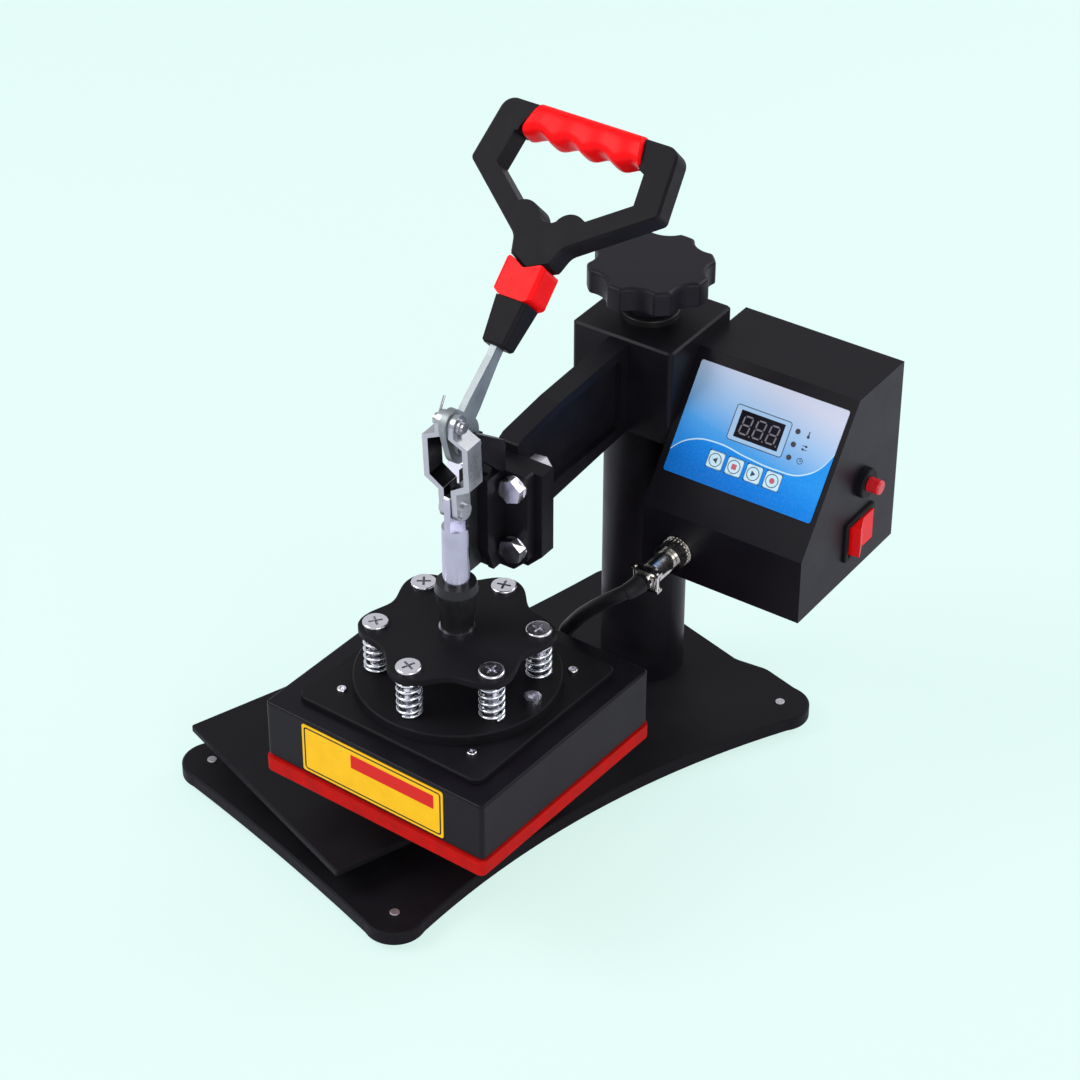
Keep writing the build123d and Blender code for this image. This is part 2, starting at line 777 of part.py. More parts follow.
# Toggle links: a joggled pair that bulges out round the fixed pivot's cheeks
plunger_pin_y = -reach
link_length = hypot(lever_pin_y - plunger_pin_y, lever_pin_z - plunger_pin_z)
link_lean = degrees(atan2(lever_pin_y - plunger_pin_y, lever_pin_z - plunger_pin_z))
link_up = head.y_dir * sin(radians(link_lean)) + Vector(0, 0, cos(radians(link_lean)))
link_plane = Plane(
    origin=head.from_local_coords(Vector(0, plunger_pin_y, plunger_pin_z)),
    x_dir=head.x_dir,
    z_dir=head.x_dir.cross(link_up),
)
with BuildPart() as toggle_links:
    for hand in (1, -1):
        with BuildSketch(link_plane):
            with BuildLine():
                outer_profile = [
                    (link_bottom_inner, -link_width),
                    (link_bottom_inner, link_bulge_low - link_slope),
                    (link_bulge_inner, link_bulge_low + 1.5),
                    (link_bulge_inner, link_length - link_shoulder),
                    (link_top_inner, link_length - link_shoulder + link_slope),
                    (link_top_inner, link_length + link_width),
                ]
                inner_profile = [
                    (link_bottom_inner + link_thickness, -link_width),
                    (link_bottom_inner + link_thickness, link_bulge_low - link_slope - 1.6),
                    (link_bulge_inner + link_thickness, link_bulge_low - 0.8),
                    (link_bulge_inner + link_thickness, link_length - link_shoulder + 1.3),
                    (link_top_inner + link_thickness, link_length - link_shoulder + 1.2 + link_slope),
                    (link_top_inner + link_thickness, link_length + link_width),
                ]
                loop = outer_profile + inner_profile[::-1]
                Polyline([(hand * x, t) for x, t in loop], close=True)
            make_face()
        extrude(amount=link_width / 2 + 1, both=True)
    with BuildSketch(side(head, 0)):
        with Locations((plunger_pin_y, plunger_pin_z), (lever_pin_y, lever_pin_z)):
            Circle(link_width / 2)
        make_hull()
    extrude(amount=link_bulge_inner * 2, both=True, mode=Mode.INTERSECT)
    with Locations(side(head, link_bulge_inner * 2)):
        with Locations((lever_pin_y, lever_pin_z)):
            Hole(radius=link_pin_diameter / 2 + running_fit)
        with Locations((plunger_pin_y, plunger_pin_z)):
            Hole(radius=link_pin_diameter / 2)
save(toggle_links, "toggle_links")

# Link pins: short headed studs at the lower eyes
with BuildPart() as link_pins:
    for hand in (1, -1):
        with BuildSketch(side(head, hand * link_bottom_inner)):
            with Locations((plunger_pin_y, plunger_pin_z)):
                Circle(link_pin_diameter / 2)
        extrude(amount=hand * (link_thickness + 0.8))
        with BuildSketch(side(head, hand * (link_bottom_inner + link_thickness))):
            with Locations((plunger_pin_y, plunger_pin_z)):
                Circle(link_pin_diameter / 2 + 1.6)
        extrude(amount=hand * 1.6)
save(link_pins, "link_pins")

# Plunger rod: milled tongue between the link eyes, flat at the back for the guide tongue
rod_low = star_top - star_thickness - rod_nut_height - 1
rod_flat = rod_diameter / 2 - 0.6
with BuildPart() as plunger_rod:
    with BuildSketch(level(plunger, rod_low)):
        Circle(rod_diameter / 2)
    extrude(amount=rod_top - rod_low)
    chamfer(plunger_rod.edges().group_by(Axis.Z)[-1], length=0.8)
    with BuildSketch(level(plunger, rod_shoulder)):
        for hand in (1, -1):
            with Locations((hand * (rod_tongue / 2 + rod_diameter / 2), 0)):
                Rectangle(rod_diameter, rod_diameter + 2)
    extrude(amount=rod_top - rod_shoulder + 1, mode=Mode.SUBTRACT)
    with BuildSketch(level(plunger, guide_tongue_low)):
        with Locations((0, rod_flat + rod_diameter / 2)):
            Rectangle(rod_diameter, rod_diameter)
    extrude(amount=rod_top - guide_tongue_low + 1, mode=Mode.SUBTRACT)
save(plunger_rod, "plunger_rod")

# Guide tongue: a T-section key on the back of the rod that slides in the guide block
with BuildPart() as guide_tongue:
    with BuildSketch(level(plunger, guide_tongue_low)):
        with Locations((0, (rod_flat + guide_head_front + 1) / 2)):
            Rectangle(guide_neck, guide_head_front + 1 - rod_flat)
        with Locations((0, guide_head_front + guide_head_thickness / 2)):
            Rectangle(guide_head, guide_head_thickness)
    extrude(amount=guide_tongue_high - guide_tongue_low)
    chamfer(guide_tongue.edges().group_by(Axis.Z)[-1], length=0.6)
save(guide_tongue, "guide_tongue")

# Tapered collar and chrome washer that clamp the star plate
with BuildPart() as plunger_collar:
    collar_bottom = star_top + washer_height
    with BuildSketch(side(plunger, 0)):
        with BuildLine():
            Polyline(
                (rod_diameter / 2, collar_top),
                (collar_top_diameter / 2, collar_top),
                (collar_waist_diameter / 2, collar_top - 5),
                (collar_foot_diameter / 2, collar_bottom + 3),
                (collar_foot_diameter / 2, collar_bottom),
                (rod_diameter / 2, collar_bottom),
                close=True,
            )
        make_face()
    revolve(axis=Axis(plunger.origin, (0, 0, 1)))
save(plunger_collar, "plunger_collar")

# Chrome washer on the star plate and hexagon nut below it
with BuildPart() as rod_fasteners:
    with BuildSketch(level(plunger, star_top)):
        Circle(washer_diameter / 2)
        Circle(rod_diameter / 2, mode=Mode.SUBTRACT)
    extrude(amount=washer_height)
    with BuildSketch(level(plunger, star_top - star_thickness)):
        RegularPolygon(rod_nut_flats / 2, 6, major_radius=False)
        Circle(rod_diameter / 2, mode=Mode.SUBTRACT)
    extrude(amount=-rod_nut_height)
save(rod_fasteners, "rod_fasteners")

# Star plate: its rim is a smooth wave of six lobes over the spring screws
star_rim = []
for angle in range(0, 360, 10):
    wave = cos(radians(6 * (angle - 30)))
    rim_radius = (star_radius + star_valley) / 2 + wave * (star_radius - star_valley) / 2
    star_rim.append(on_circle(0, 0, rim_radius, angle))
with BuildPart() as star_plate:
    with BuildSketch(level(plunger, star_top - star_thickness)):
        with BuildLine():
            Spline(*star_rim, periodic=True)
        make_face()
    extrude(amount=star_thickness)
    chamfer(facing(star_plate, (0, 0, 1)).edges(), length=0.6)
    with Locations(level(plunger, star_top)):
        Hole(radius=rod_diameter / 2)
        with PolarLocations(spring_circle, 6, start_angle=30):
            Hole(radius=spring_screw_diameter / 2 + 0.3)
save(star_plate, "star_plate")

# Springs: open curls of round wire, each a single tube with a short straight run at either end.
# Every quarter turn of the helix is followed by two arcs that meet it in place and direction.
spring_low = disc_top + spring_seat_gap + spring_wire / 2
spring_high = star_top - star_thickness - spring_seat_gap - spring_wire / 2
coil_radius = (spring_diameter - spring_wire) / 2
coil_pitch = (spring_high - spring_low) / spring_curls


def helix_point(turn):
    """Point on the coil's centre line after a number of turns."""
    angle = 2 * pi * turn
    return Vector(coil_radius * cos(angle), coil_radius * sin(angle), spring_low + coil_pitch * turn)


def helix_tangent(turn):
    """Direction of the coil's centre line after a number of turns."""
    angle = 2 * pi * turn
    return Vector(-coil_radius * sin(angle), coil_radius * cos(angle), coil_pitch / (2 * pi)).normalized()


def biarc_joint(start, start_way, end, end_way):
    """Point where two equal-handed arcs between two placed directions meet."""
    span = end - start
    both = start_way + end_way
    spread = 2 * (1 - start_way.dot(end_way))
    reach_out = (-span.dot(both) + sqrt(span.dot(both) ** 2 + spread * span.dot(span))) / spread
    return (start + end + (start_way - end_way) * reach_out) / 2


def coil_edges(curls):
    """Arcs of the coil's centre line with a straight run at either end."""
    first, last = helix_point(0), helix_point(curls)
    edges = [Edge.make_line(first - Vector(0, 1, 0) * spring_wire, first)]
    way = Vector(0, 1, 0)
    for quarter in range(4 * curls):
        start, end = helix_point(quarter / 4), helix_point((quarter + 1) / 4)
        start_way = way if quarter == 0 else helix_tangent(quarter / 4)
        end_way = Vector(0, 1, 0) if quarter == 4 * curls - 1 else helix_tangent((quarter + 1) / 4)
        joint = biarc_joint(start, start_way, end, end_way)
        first_arc = Edge.make_tangent_arc(start, start_way, joint)
        edges.append(first_arc)
        edges.append(Edge.make_tangent_arc(joint, first_arc.tangent_at(1), end))
    edges.append(Edge.make_line(last, last + Vector(0, 1, 0) * spring_wire))
    return edges


coil_path = Wire(coil_edges(spring_curls))
with BuildPart() as spring:
    with BuildSketch(Plane(origin=coil_path @ 0, z_dir=coil_path % 0)):
        RegularPolygon(spring_wire / 2, 8)
    sweep(path=coil_path)
coil_gap = coil_pitch - spring_wire
print("spring curls", spring_curls, "pitch", round(coil_pitch, 2), "gap between curls", round(coil_gap, 2))
coil_samples = [coil_path @ (i / 600) for i in range(601)]
coil_length = coil_path.length
near_turn = 0.6 * 2 * pi * coil_radius / coil_length
least = min(
    (a - b).length - spring_wire
    for i, a in enumerate(coil_samples[::2])
    for b in coil_samples[::2][i + int(near_turn * 300):]
)
print("least gap of the coil to itself", round(least, 2))
with BuildPart() as springs:
    for angle in range(30, 390, 60):
        spot = level(plunger, 0, *on_circle(0, 0, spring_circle, angle))
        turned = Plane(origin=spot.origin, x_dir=spot.x_dir.rotate(Axis.Z, angle), z_dir=(0, 0, 1))
        add(turned.location * spring.part)
save(springs, "springs")

# Spring screws: pan heads that rest on the star plate, shanks through the springs into the disc
with BuildPart() as spring_screws:
    for angle in range(30, 390, 60):
        spot = on_circle(0, 0, spring_circle, angle)
        with BuildSketch(level(plunger, disc_top - disc_thickness, *spot)):
            Circle(spring_screw_diameter / 2)
        extrude(amount=star_top - disc_top + disc_thickness + 0.5)
        with BuildSketch(level(plunger, star_top, *spot)):
            Circle(spring_screw_head / 2)
        extrude(amount=spring_screw_head_height)
    fillet(spring_screws.edges().group_by(Axis.Z)[-1], radius=spring_screw_head_height * 0.45)
    for number, angle in enumerate(range(30, 390, 60)):
        spot = on_circle(0, 0, spring_circle, angle)
        with BuildSketch(level(plunger, star_top + spring_screw_head_height, *spot)):
            for quarter in (0, 90):
                Rectangle(spring_recess, spring_recess * recess_share, rotation=quarter + 17 * number)
        extrude(amount=-spring_screw_head_height * 0.6, mode=Mode.SUBTRACT)
save(spring_screws, "spring_screws")

# Disc plate over the heater, tapped for the spring screws
with BuildPart() as disc_plate:
    with BuildSketch(level(plunger, disc_top - disc_thickness)):
        Circle(disc_radius)
    extrude(amount=disc_thickness)
    chamfer(facing(disc_plate, (0, 0, 1)).edges(), length=0.8)
    with Locations(level(plunger, disc_top)):
        with PolarLocations(spring_circle, 6, start_angle=30):
            Hole(radius=spring_screw_diameter / 2)
        with PolarLocations(disc_bolt_circle, 2):
            Hole(radius=disc_bolt_diameter / 2)
save(disc_plate, "disc_plate")

# Raised square plate between the disc and the cover
raised_top = disc_top - disc_thickness
small_screw_spots = [(x * small_screw_spacing / 2, y * small_screw_spacing / 2) for x in (-1, 1) for y in (-1, 1)]
with BuildPart() as raised_plate:
    with BuildSketch(level(heater, cover_top)):
        RectangleRounded(raised_size, raised_size, raised_corner)
    extrude(amount=raised_top - cover_top)
    chamfer(facing(raised_plate, (0, 0, 1)).edges(), length=0.8)
    with Locations(level(heater, raised_top)):
        with Locations(*small_screw_spots):
            Hole(radius=small_screw_diameter / 2)
    with Locations(level(plunger, raised_top)):
        with PolarLocations(disc_bolt_circle, 2):
            Hole(radius=disc_bolt_diameter / 2)
save(raised_plate, "raised_plate")

# Heater screws: four pan heads in the raised plate's corners and two socket heads in the disc
with BuildPart() as heater_screws:
    for spot in small_screw_spots:
        with BuildSketch(level(heater, cover_top - cover_sheet - 2, *spot)):
            Circle(small_screw_diameter / 2)
        extrude(amount=raised_top - cover_top + cover_sheet + 2)
        with BuildSketch(level(heater, raised_top, *spot)):
            Circle(small_screw_head / 2)
        extrude(amount=small_screw_head_height)
    fillet(heater_screws.edges().group_by(Axis.Z)[-1], radius=small_screw_head_height * 0.45)
    for number, spot in enumerate(small_screw_spots):
        with BuildSketch(level(heater, raised_top + small_screw_head_height, *spot)):
            for quarter in (0, 90):
                Rectangle(small_recess, small_recess * recess_share * 1.3, rotation=quarter + 31 * number)
        extrude(amount=-small_screw_head_height * 0.6, mode=Mode.SUBTRACT)
    for angle in (0, 180):
        spot = on_circle(0, 0, disc_bolt_circle, angle)
        with BuildSketch(level(plunger, cover_top, *spot)):
            Circle(disc_bolt_diameter / 2)
        extrude(amount=disc_top - cover_top)
        with BuildSketch(level(plunger, disc_top, *spot)):
            Circle(disc_bolt_diameter * 0.8)
        extrude(amount=disc_bolt_diameter * 0.7)
        with BuildSketch(level(plunger, disc_top + disc_bolt_diameter * 0.7, *spot)):
            RegularPolygon(disc_bolt_diameter * 0.45, 6)
        extrude(amount=-disc_bolt_diameter * 0.4, mode=Mode.SUBTRACT)
save(heater_screws, "heater_screws")

# Heater cover: a folded sheet-metal pan, open at the bottom
with BuildPart() as heater_cover:
    with BuildSketch(level(heater, cover_bottom)):
        RectangleRounded(cover_width, cover_length, cover_corner)
    extrude(amount=cover_top - cover_bottom)
    fillet(facing(heater_cover, (0, 0, 1)).edges(), radius=cover_sheet * 0.9)
    with BuildSketch(level(heater, cover_bottom)):
        RectangleRounded(cover_width - 2 * cover_sheet, cover_length - 2 * cover_sheet, cover_corner - cover_sheet)
    extrude(amount=cover_top - cover_bottom - cover_sheet, mode=Mode.SUBTRACT)
    with Locations(level(heater, cover_top)):
        with Locations(*small_screw_spots):
            Hole(radius=small_screw_diameter / 2, depth=3 * cover_sheet)
    with Locations(rear(heater, cover_length / 2)):
        with Locations((-elbow_x, elbow_top - elbow_diameter)):
            Hole(radius=elbow_bore / 2, depth=3 * cover_sheet)
save(heater_cover, "heater_cover")

# Heating block under the insulation board, with the tubular element laid between them
block_bottom = pad_bottom + pad_thickness
block_top = block_bottom + block_thickness
inner_width = cover_width - 2 * cover_sheet - 2 * block_gap
inner_length = cover_length - 2 * cover_sheet - 2 * block_gap
with BuildPart() as heating_block:
    with BuildSketch(level(heater, block_bottom)):
        RectangleRounded(inner_width, inner_length, cover_corner)
    extrude(amount=block_thickness)
    with BuildSketch(level(heater, block_top)):
        for number in range(element_passes):
            with Locations(((number - (element_passes - 1) / 2) * element_pitch, 0)):
                SlotOverall(inner_length - 20, element_diameter + 0.6, rotation=90)
    extrude(amount=-element_diameter, mode=Mode.SUBTRACT)
save(heating_block, "heating_block")

with BuildPart() as heating_element:
    with BuildSketch(level(heater, block_top - element_diameter)):
        for number in range(element_passes):
            with Locations(((number - (element_passes - 1) / 2) * element_pitch, 0)):
                SlotOverall(inner_length - 20.6, element_diameter, rotation=90)
    extrude(amount=element_diameter)
save(heating_element, "heating_element")

with BuildPart() as insulation_board:
    with BuildSketch(level(heater, block_top)):
        RectangleRounded(inner_width, inner_length, cover_corner)
    extrude(amount=insulation_thickness)
save(insulation_board, "insulation_board")

# Silicone pad under the block
with BuildPart() as silicone_pad:
    with BuildSketch(level(heater, pad_bottom)):
        RectangleRounded(pad_size, pad_size, pad_corner)
    extrude(amount=pad_thickness)
    fillet(facing(silicone_pad, (0, 0, -1)).edges(), radius=1.2)
save(silicone_pad, "silicone_pad")

# Plain yellow plate on the front of the cover
with BuildPart() as front_plate:
    label_z = (cover_top + cover_bottom) / 2 - 0.6
    with BuildSketch(front(heater, -cover_length / 2, 0, label_z)):
        RectangleRounded(label_width, label_height, 1.5)
    extrude(amount=label_thickness)
save(front_plate, "front_plate")

# Handle: socket and sleeve slide over the stem, the D-frame closes its end
stem_fit = 0.1


def stem_level(s):
    """Plane square to the stem at a distance s along it: local x runs right, local y to the lever's front."""
    origin = stem.origin + stem.y_dir * s
    return Plane(origin=origin, x_dir=head.x_dir, z_dir=stem.y_dir)


with BuildPart() as handle_socket:
    with BuildSketch(stem_level(socket_start)):
        RectangleRounded(socket_tip_width, socket_tip_depth, 2.5)
    with BuildSketch(stem_level(socket_end)):
        RectangleRounded(socket_width, socket_depth, 3.0)
    loft()
    with BuildSketch(stem_level(socket_start - 1)):
        Rectangle(lever_thickness, stem_depth)
    extrude(amount=socket_end - socket_start + 2, mode=Mode.SUBTRACT)
    chamfer(facing(handle_socket, tuple(-stem.y_dir)).outer_wire().edges(), length=1.2)
save(handle_socket, "handle_socket")

with BuildPart() as handle_sleeve:
    with BuildSketch(stem):
        with BuildLine():
            half = sleeve_width / 2
            Polyline(
                (-half, socket_end + 3),
                (-half, sleeve_end),
                (0, sleeve_end - sleeve_notch),
                (half, sleeve_end),
                (half, socket_end + 3),
                (half * 0.6, socket_end),
                (-half * 0.6, socket_end),
                close=True,
            )
        make_face()
    extrude(amount=sleeve_depth / 2, both=True)
    fillet(handle_sleeve.edges().filter_by(lambda e: e.length > sleeve_end - socket_end - 4), radius=3.0)
    with BuildSketch(stem_level(socket_end - 2)):
        Rectangle(lever_thickness, stem_depth)
    extrude(amount=sleeve_end - socket_end + 4, mode=Mode.SUBTRACT)
save(handle_sleeve, "handle_sleeve")

bump_pitch = 20.6
first_bump = -35.4
grip_left_low = first_bump - bump_pitch / 2 + 7.0
grip_right_low = first_bump + 3.5 * bump_pitch
grip_seam = 0.4
with BuildPart() as handle_frame:
    with BuildSketch(stem):
        with BuildLine():
            FilletPolyline(
                (sleeve_width / 2, sleeve_end),
                (frame_waist / 2, frame_waist_s),
                (frame_side_half, frame_side_s),
                (frame_top_half, frame_top_s),
                (-frame_top_half, frame_top_s),
                (-frame_side_half, frame_side_s),
                (-frame_waist / 2, frame_waist_s),
                (-sleeve_width / 2, sleeve_end),
                close=True,
                radius=[2.0, 9.0, 3.5, 8.0, 8.0, 3.5, 9.0, 2.0],
            )
        make_face()
        with BuildLine():
            inner_top = frame_top_s - frame_bar
            inner_half = frame_top_half - frame_limb * 0.86
            side_half = frame_side_half - frame_limb
            Polyline((-side_half, frame_side_s + 2), (-inner_half, inner_top), (inner_half, inner_top))
            Line((inner_half, inner_top), (side_half, frame_side_s + 2))
            Line((side_half, frame_side_s + 2), (20.6, 116.2))
            ThreePointArc((20.6, 116.2), (12.5, 118.0), (5.2, crotch_s + 2.2))
            ThreePointArc((5.2, crotch_s + 2.2), (0, crotch_s), (-5.2, crotch_s + 2.2))
            ThreePointArc((-5.2, crotch_s + 2.2), (-12.5, 118.0), (-20.6, 116.2))
            Line((-20.6, 116.2), (-side_half, frame_side_s + 2))
        make_face(mode=Mode.SUBTRACT)
        with BuildLine():
            tongue_top = sleeve_end + 1
            tongue_half = sleeve_width / 2 - stem_fit
            Polyline(
                (0, sleeve_end - sleeve_notch + stem_fit),
                (tongue_half, sleeve_end),
                (tongue_half, tongue_top),
                (-tongue_half, tongue_top),
                (-tongue_half, sleeve_end),
                close=True,
            )
        make_face()
    extrude(amount=frame_depth / 2, both=True)
    rims = [f for f in handle_frame.faces().filter_by(GeomType.PLANE) if abs(f.normal_at().dot(stem.z_dir)) > 0.99]
    chamfer([e for f in rims for e in f.outer_wire().edges()], length=frame_bevel)
    with BuildSketch(stem_level(sleeve_end - sleeve_notch - 1)):
        Rectangle(lever_thickness, stem_depth)
    extrude(amount=stem_end - sleeve_end + sleeve_notch + 1, mode=Mode.SUBTRACT)
    with BuildSketch(stem):
        with BuildLine():
            Polyline(
                (grip_left_low - grip_seam, frame_top_s - frame_bar - 3),
                (grip_left_low - grip_seam, grip_low_s),
                (-grip_top_half - grip_seam, grip_top_s),
                (-grip_top_half - grip_seam, frame_top_s + 1),
                (grip_top_half + grip_seam, frame_top_s + 1),
                (grip_top_half + grip_seam, grip_top_s),
                (grip_right_low + grip_seam, grip_low_s),
                (grip_right_low + grip_seam, frame_top_s - frame_bar - 3),
                close=True,
            )
        make_face()
    extrude(amount=frame_depth, both=True, mode=Mode.SUBTRACT)
    with BuildSketch(stem):
        with Locations((0, (grip_core_top_s + grip_core_low_s) / 2)):
            Rectangle(2 * grip_low_half + 4, grip_core_top_s - grip_core_low_s)
    extrude(amount=grip_core_depth / 2, both=True)
save(handle_frame, "handle_frame")

# Grip: moulded round the bar, slanted at its left end, with four finger bumps below
with BuildPart() as handle_grip:
    with BuildSketch(stem):
        with BuildLine():
            Polyline(
                (grip_left_low, grip_low_s),
                (-grip_top_half, grip_top_s),
                (grip_top_half, grip_top_s),
                (grip_right_low, grip_low_s),
            )
            start = (grip_left_low, grip_low_s)
            for number in range(4):
                end = (first_bump + (number + 0.5) * bump_pitch, grip_low_s)
                ThreePointArc(start, ((start[0] + end[0]) / 2, grip_low_s - grip_bump), end)
                start = end
        make_face()
    extrude(amount=grip_depth / 2, both=True)
    crest = facing(handle_grip, tuple(stem.y_dir))
    chamfer(crest.edges().filter_by(Axis(stem.origin, stem.x_dir)), length=4.0)
    with BuildSketch(stem):
        with Locations((0, (grip_core_top_s + grip_core_low_s) / 2)):
            Rectangle(2 * grip_low_half + 10, grip_core_top_s - grip_core_low_s)
    extrude(amount=grip_core_depth / 2, both=True, mode=Mode.SUBTRACT)
save(handle_grip, "handle_grip")

# Control box: a folded sheet-metal shell whose right wall is a separate cover
slope_length = hypot(box_roof_front - box_front, box_top - box_slope_foot)
slope_way = ((box_front - box_roof_front) / slope_length, (box_slope_foot - box_top) / slope_length)
box_profile = [
    (box_back, box_bottom),
    (box_back, box_top),
    (box_roof_front, box_top),
    (box_front, box_slope_foot),
    (box_front, box_bottom),
]
slope = Plane(
    origin=head.from_local_coords(Vector(0, box_roof_front, box_top)),
    x_dir=head.x_dir,
    z_dir=head.x_dir.cross(-(head.y_dir * slope_way[0] + Vector(0, 0, slope_way[1]))),
)
cover_inner = box_right - box_sheet


def slope_spot(x, s):
    """Local point on the slanted face: x from the head's middle plane, s down the slope."""
    return (x, -s)


key_spots = [slope_spot(first_key_x + key_pitch * n, key_s) for n in range(4)]
lamp_spots = [slope_spot(lamp_x, lamp_start + lamp_pitch * n) for n in range(3)]
window_spot = slope_spot(window_left + window_width / 2, window_start + window_height / 2)
back_screws = [(-box_right + box_sheet + box_tab / 2, z) for z in (inlet_z + inlet_flange_height, box_top - 16)]
with BuildPart() as box_shell:
    with BuildSketch(side(head, box_left)):
        with BuildLine():
            Polyline(box_profile, close=True)
        make_face()
    extrude(amount=cover_inner - box_left)
    with BuildSketch(side(head, box_left + box_sheet)):
        with BuildLine():
            Polyline(box_profile, close=True)
        make_face()
        offset(amount=-box_sheet, kind=Kind.INTERSECTION, mode=Mode.REPLACE)
    extrude(amount=cover_inner - box_left, mode=Mode.SUBTRACT)
    with BuildSketch(slope):
        with Locations(*key_spots):
            Rectangle(key_size + 2 * key_gap, key_size + 2 * key_gap)
        with Locations(*lamp_spots):
            Circle(lamp_diameter / 2)
        with Locations(window_spot):
            Rectangle(window_width, window_height)
    extrude(amount=-2 * box_sheet, mode=Mode.SUBTRACT)
    with Locations(front(head, box_front)):
        with Locations((socket_x, socket_z)):
            Hole(radius=socket_barrel_diameter / 2, depth=2 * box_sheet)
    with BuildSketch(rear(head, box_back)):
        with Locations((-inlet_x, inlet_z)):
            Rectangle(inlet_width + 3, inlet_height + 3)
        with Locations(*back_screws):
            Circle(box_screw_diameter / 2)
    extrude(amount=-2 * box_sheet, mode=Mode.SUBTRACT)
save(box_shell, "box_shell")

# Side cover: flat wall with two tabs folded inwards at the back
with BuildPart() as box_side_cover:
    with BuildSketch(side(head, cover_inner)):
        with BuildLine():
            Polyline(box_profile, close=True)
        make_face()
    extrude(amount=box_sheet)
    with BuildSketch(side(head, box_right)):
        with Locations((breaker_y, breaker_z)):
            Circle(breaker_thread / 2)
        with Locations((rocker_y, rocker_z)):
            Rectangle(rocker_bezel_length - 4, rocker_bezel_height - 4)
    extrude(amount=-2 * box_sheet, mode=Mode.SUBTRACT)
    for x, z in back_screws:
        with BuildSketch(rear(head, box_back - box_sheet, -x, z)):
            Rectangle(box_tab, box_tab)
            Circle(box_screw_diameter / 2, mode=Mode.SUBTRACT)
        extrude(amount=-box_sheet)
save(box_side_cover, "box_side_cover")

with BuildPart() as box_screws:
    for x, z in back_screws:
        with BuildSketch(rear(head, box_back, -x, z)):
            Circle(box_screw_diameter)
        extrude(amount=2.0)
        with BuildSketch(rear(head, box_back, -x, z)):
            Circle(box_screw_diameter / 2)
        extrude(amount=-2 * box_sheet - 2)
    fillet(box_screws.edges().group_by(Axis(head.origin, head.y_dir))[-1], radius=0.8)
save(box_screws, "box_screws")

# Panel membrane on the slanted face, cut out for keys, lamps and window
with BuildPart() as panel_membrane:
    with BuildSketch(slope):
        with Locations(slope_spot((panel_left + panel_right) / 2, (panel_start + panel_end) / 2)):
            RectangleRounded(panel_right - panel_left, panel_end - panel_start, 1.5)
        with Locations(*key_spots):
            Rectangle(key_size + 2 * key_gap, key_size + 2 * key_gap, mode=Mode.SUBTRACT)
        with Locations(*lamp_spots):
            Circle(lamp_diameter / 2, mode=Mode.SUBTRACT)
        with Locations(window_spot):
            Rectangle(window_width, window_height, mode=Mode.SUBTRACT)
    extrude(amount=panel_thickness)
save(panel_membrane, "panel_membrane")

with BuildPart() as display_window:
    with BuildSketch(slope.offset(panel_thickness)):
        with Locations(window_spot):
            Rectangle(window_width, window_height)
    extrude(amount=-panel_thickness - box_sheet - 3)
save(display_window, "display_window")

with BuildPart() as indicator_lamps:
    with BuildSketch(slope.offset(panel_thickness + 0.2)):
        with Locations(*lamp_spots):
            Circle(lamp_diameter / 2)
    extrude(amount=-panel_thickness - box_sheet - 3)
save(indicator_lamps, "indicator_lamps")

# Keys: square caps on short stems that move in the membrane's cut-outs
for number, spot in enumerate(key_spots):
    with BuildPart() as key:
        with BuildSketch(slope.offset(panel_thickness + key_rise)):
            with Locations(spot):
                RectangleRounded(key_size, key_size, 1.2)
        extrude(amount=-key_rise - panel_thickness - box_sheet - 1.5)
        with BuildSketch(slope.offset(-box_sheet - 0.8)):
            with Locations(spot):
                Rectangle(key_size + 1.4, key_size + 1.4)
        extrude(amount=-0.7)
        outer_face = max(key.faces(), key=lambda f: f.center().dot(slope.z_dir))
        chamfer(outer_face.edges(), length=0.4)
    save(key, f"key_{number + 1}")

# Reset breaker: threaded body with its nut outside, and a push button
with BuildPart() as breaker_nut:
    with BuildSketch(side(head, box_right)):
        with Locations((breaker_y, breaker_z)):
            Circle(breaker_nut_diameter / 2)
    extrude(amount=breaker_nut_height)
    outer = facing(breaker_nut, tuple(head.x_dir))
    chamfer(outer.edges(), length=0.8)
    with BuildSketch(side(head, box_right)):
        with Locations((breaker_y, breaker_z)):
            Circle(breaker_thread / 2)
    extrude(amount=-12)
    with BuildSketch(side(head, box_right - 12)):
        with Locations((breaker_y, breaker_z)):
            Rectangle(22, 15)
    extrude(amount=-16)
    with BuildSketch(side(head, box_right + breaker_nut_height)):
        with Locations((breaker_y, breaker_z)):
            Circle(breaker_button_diameter / 2 + running_fit)
    extrude(amount=-breaker_nut_height - 10, mode=Mode.SUBTRACT)
save(breaker_nut, "breaker_nut")

with BuildPart() as breaker_button:
    with BuildSketch(side(head, box_right + breaker_nut_height + breaker_button_reach)):
        with Locations((breaker_y, breaker_z)):
            Circle(breaker_button_diameter / 2)
    extrude(amount=-breaker_button_reach - breaker_nut_height - 2)
    fillet(facing(breaker_button, tuple(head.x_dir)).edges(), radius=1.2)
save(breaker_button, "breaker_button")

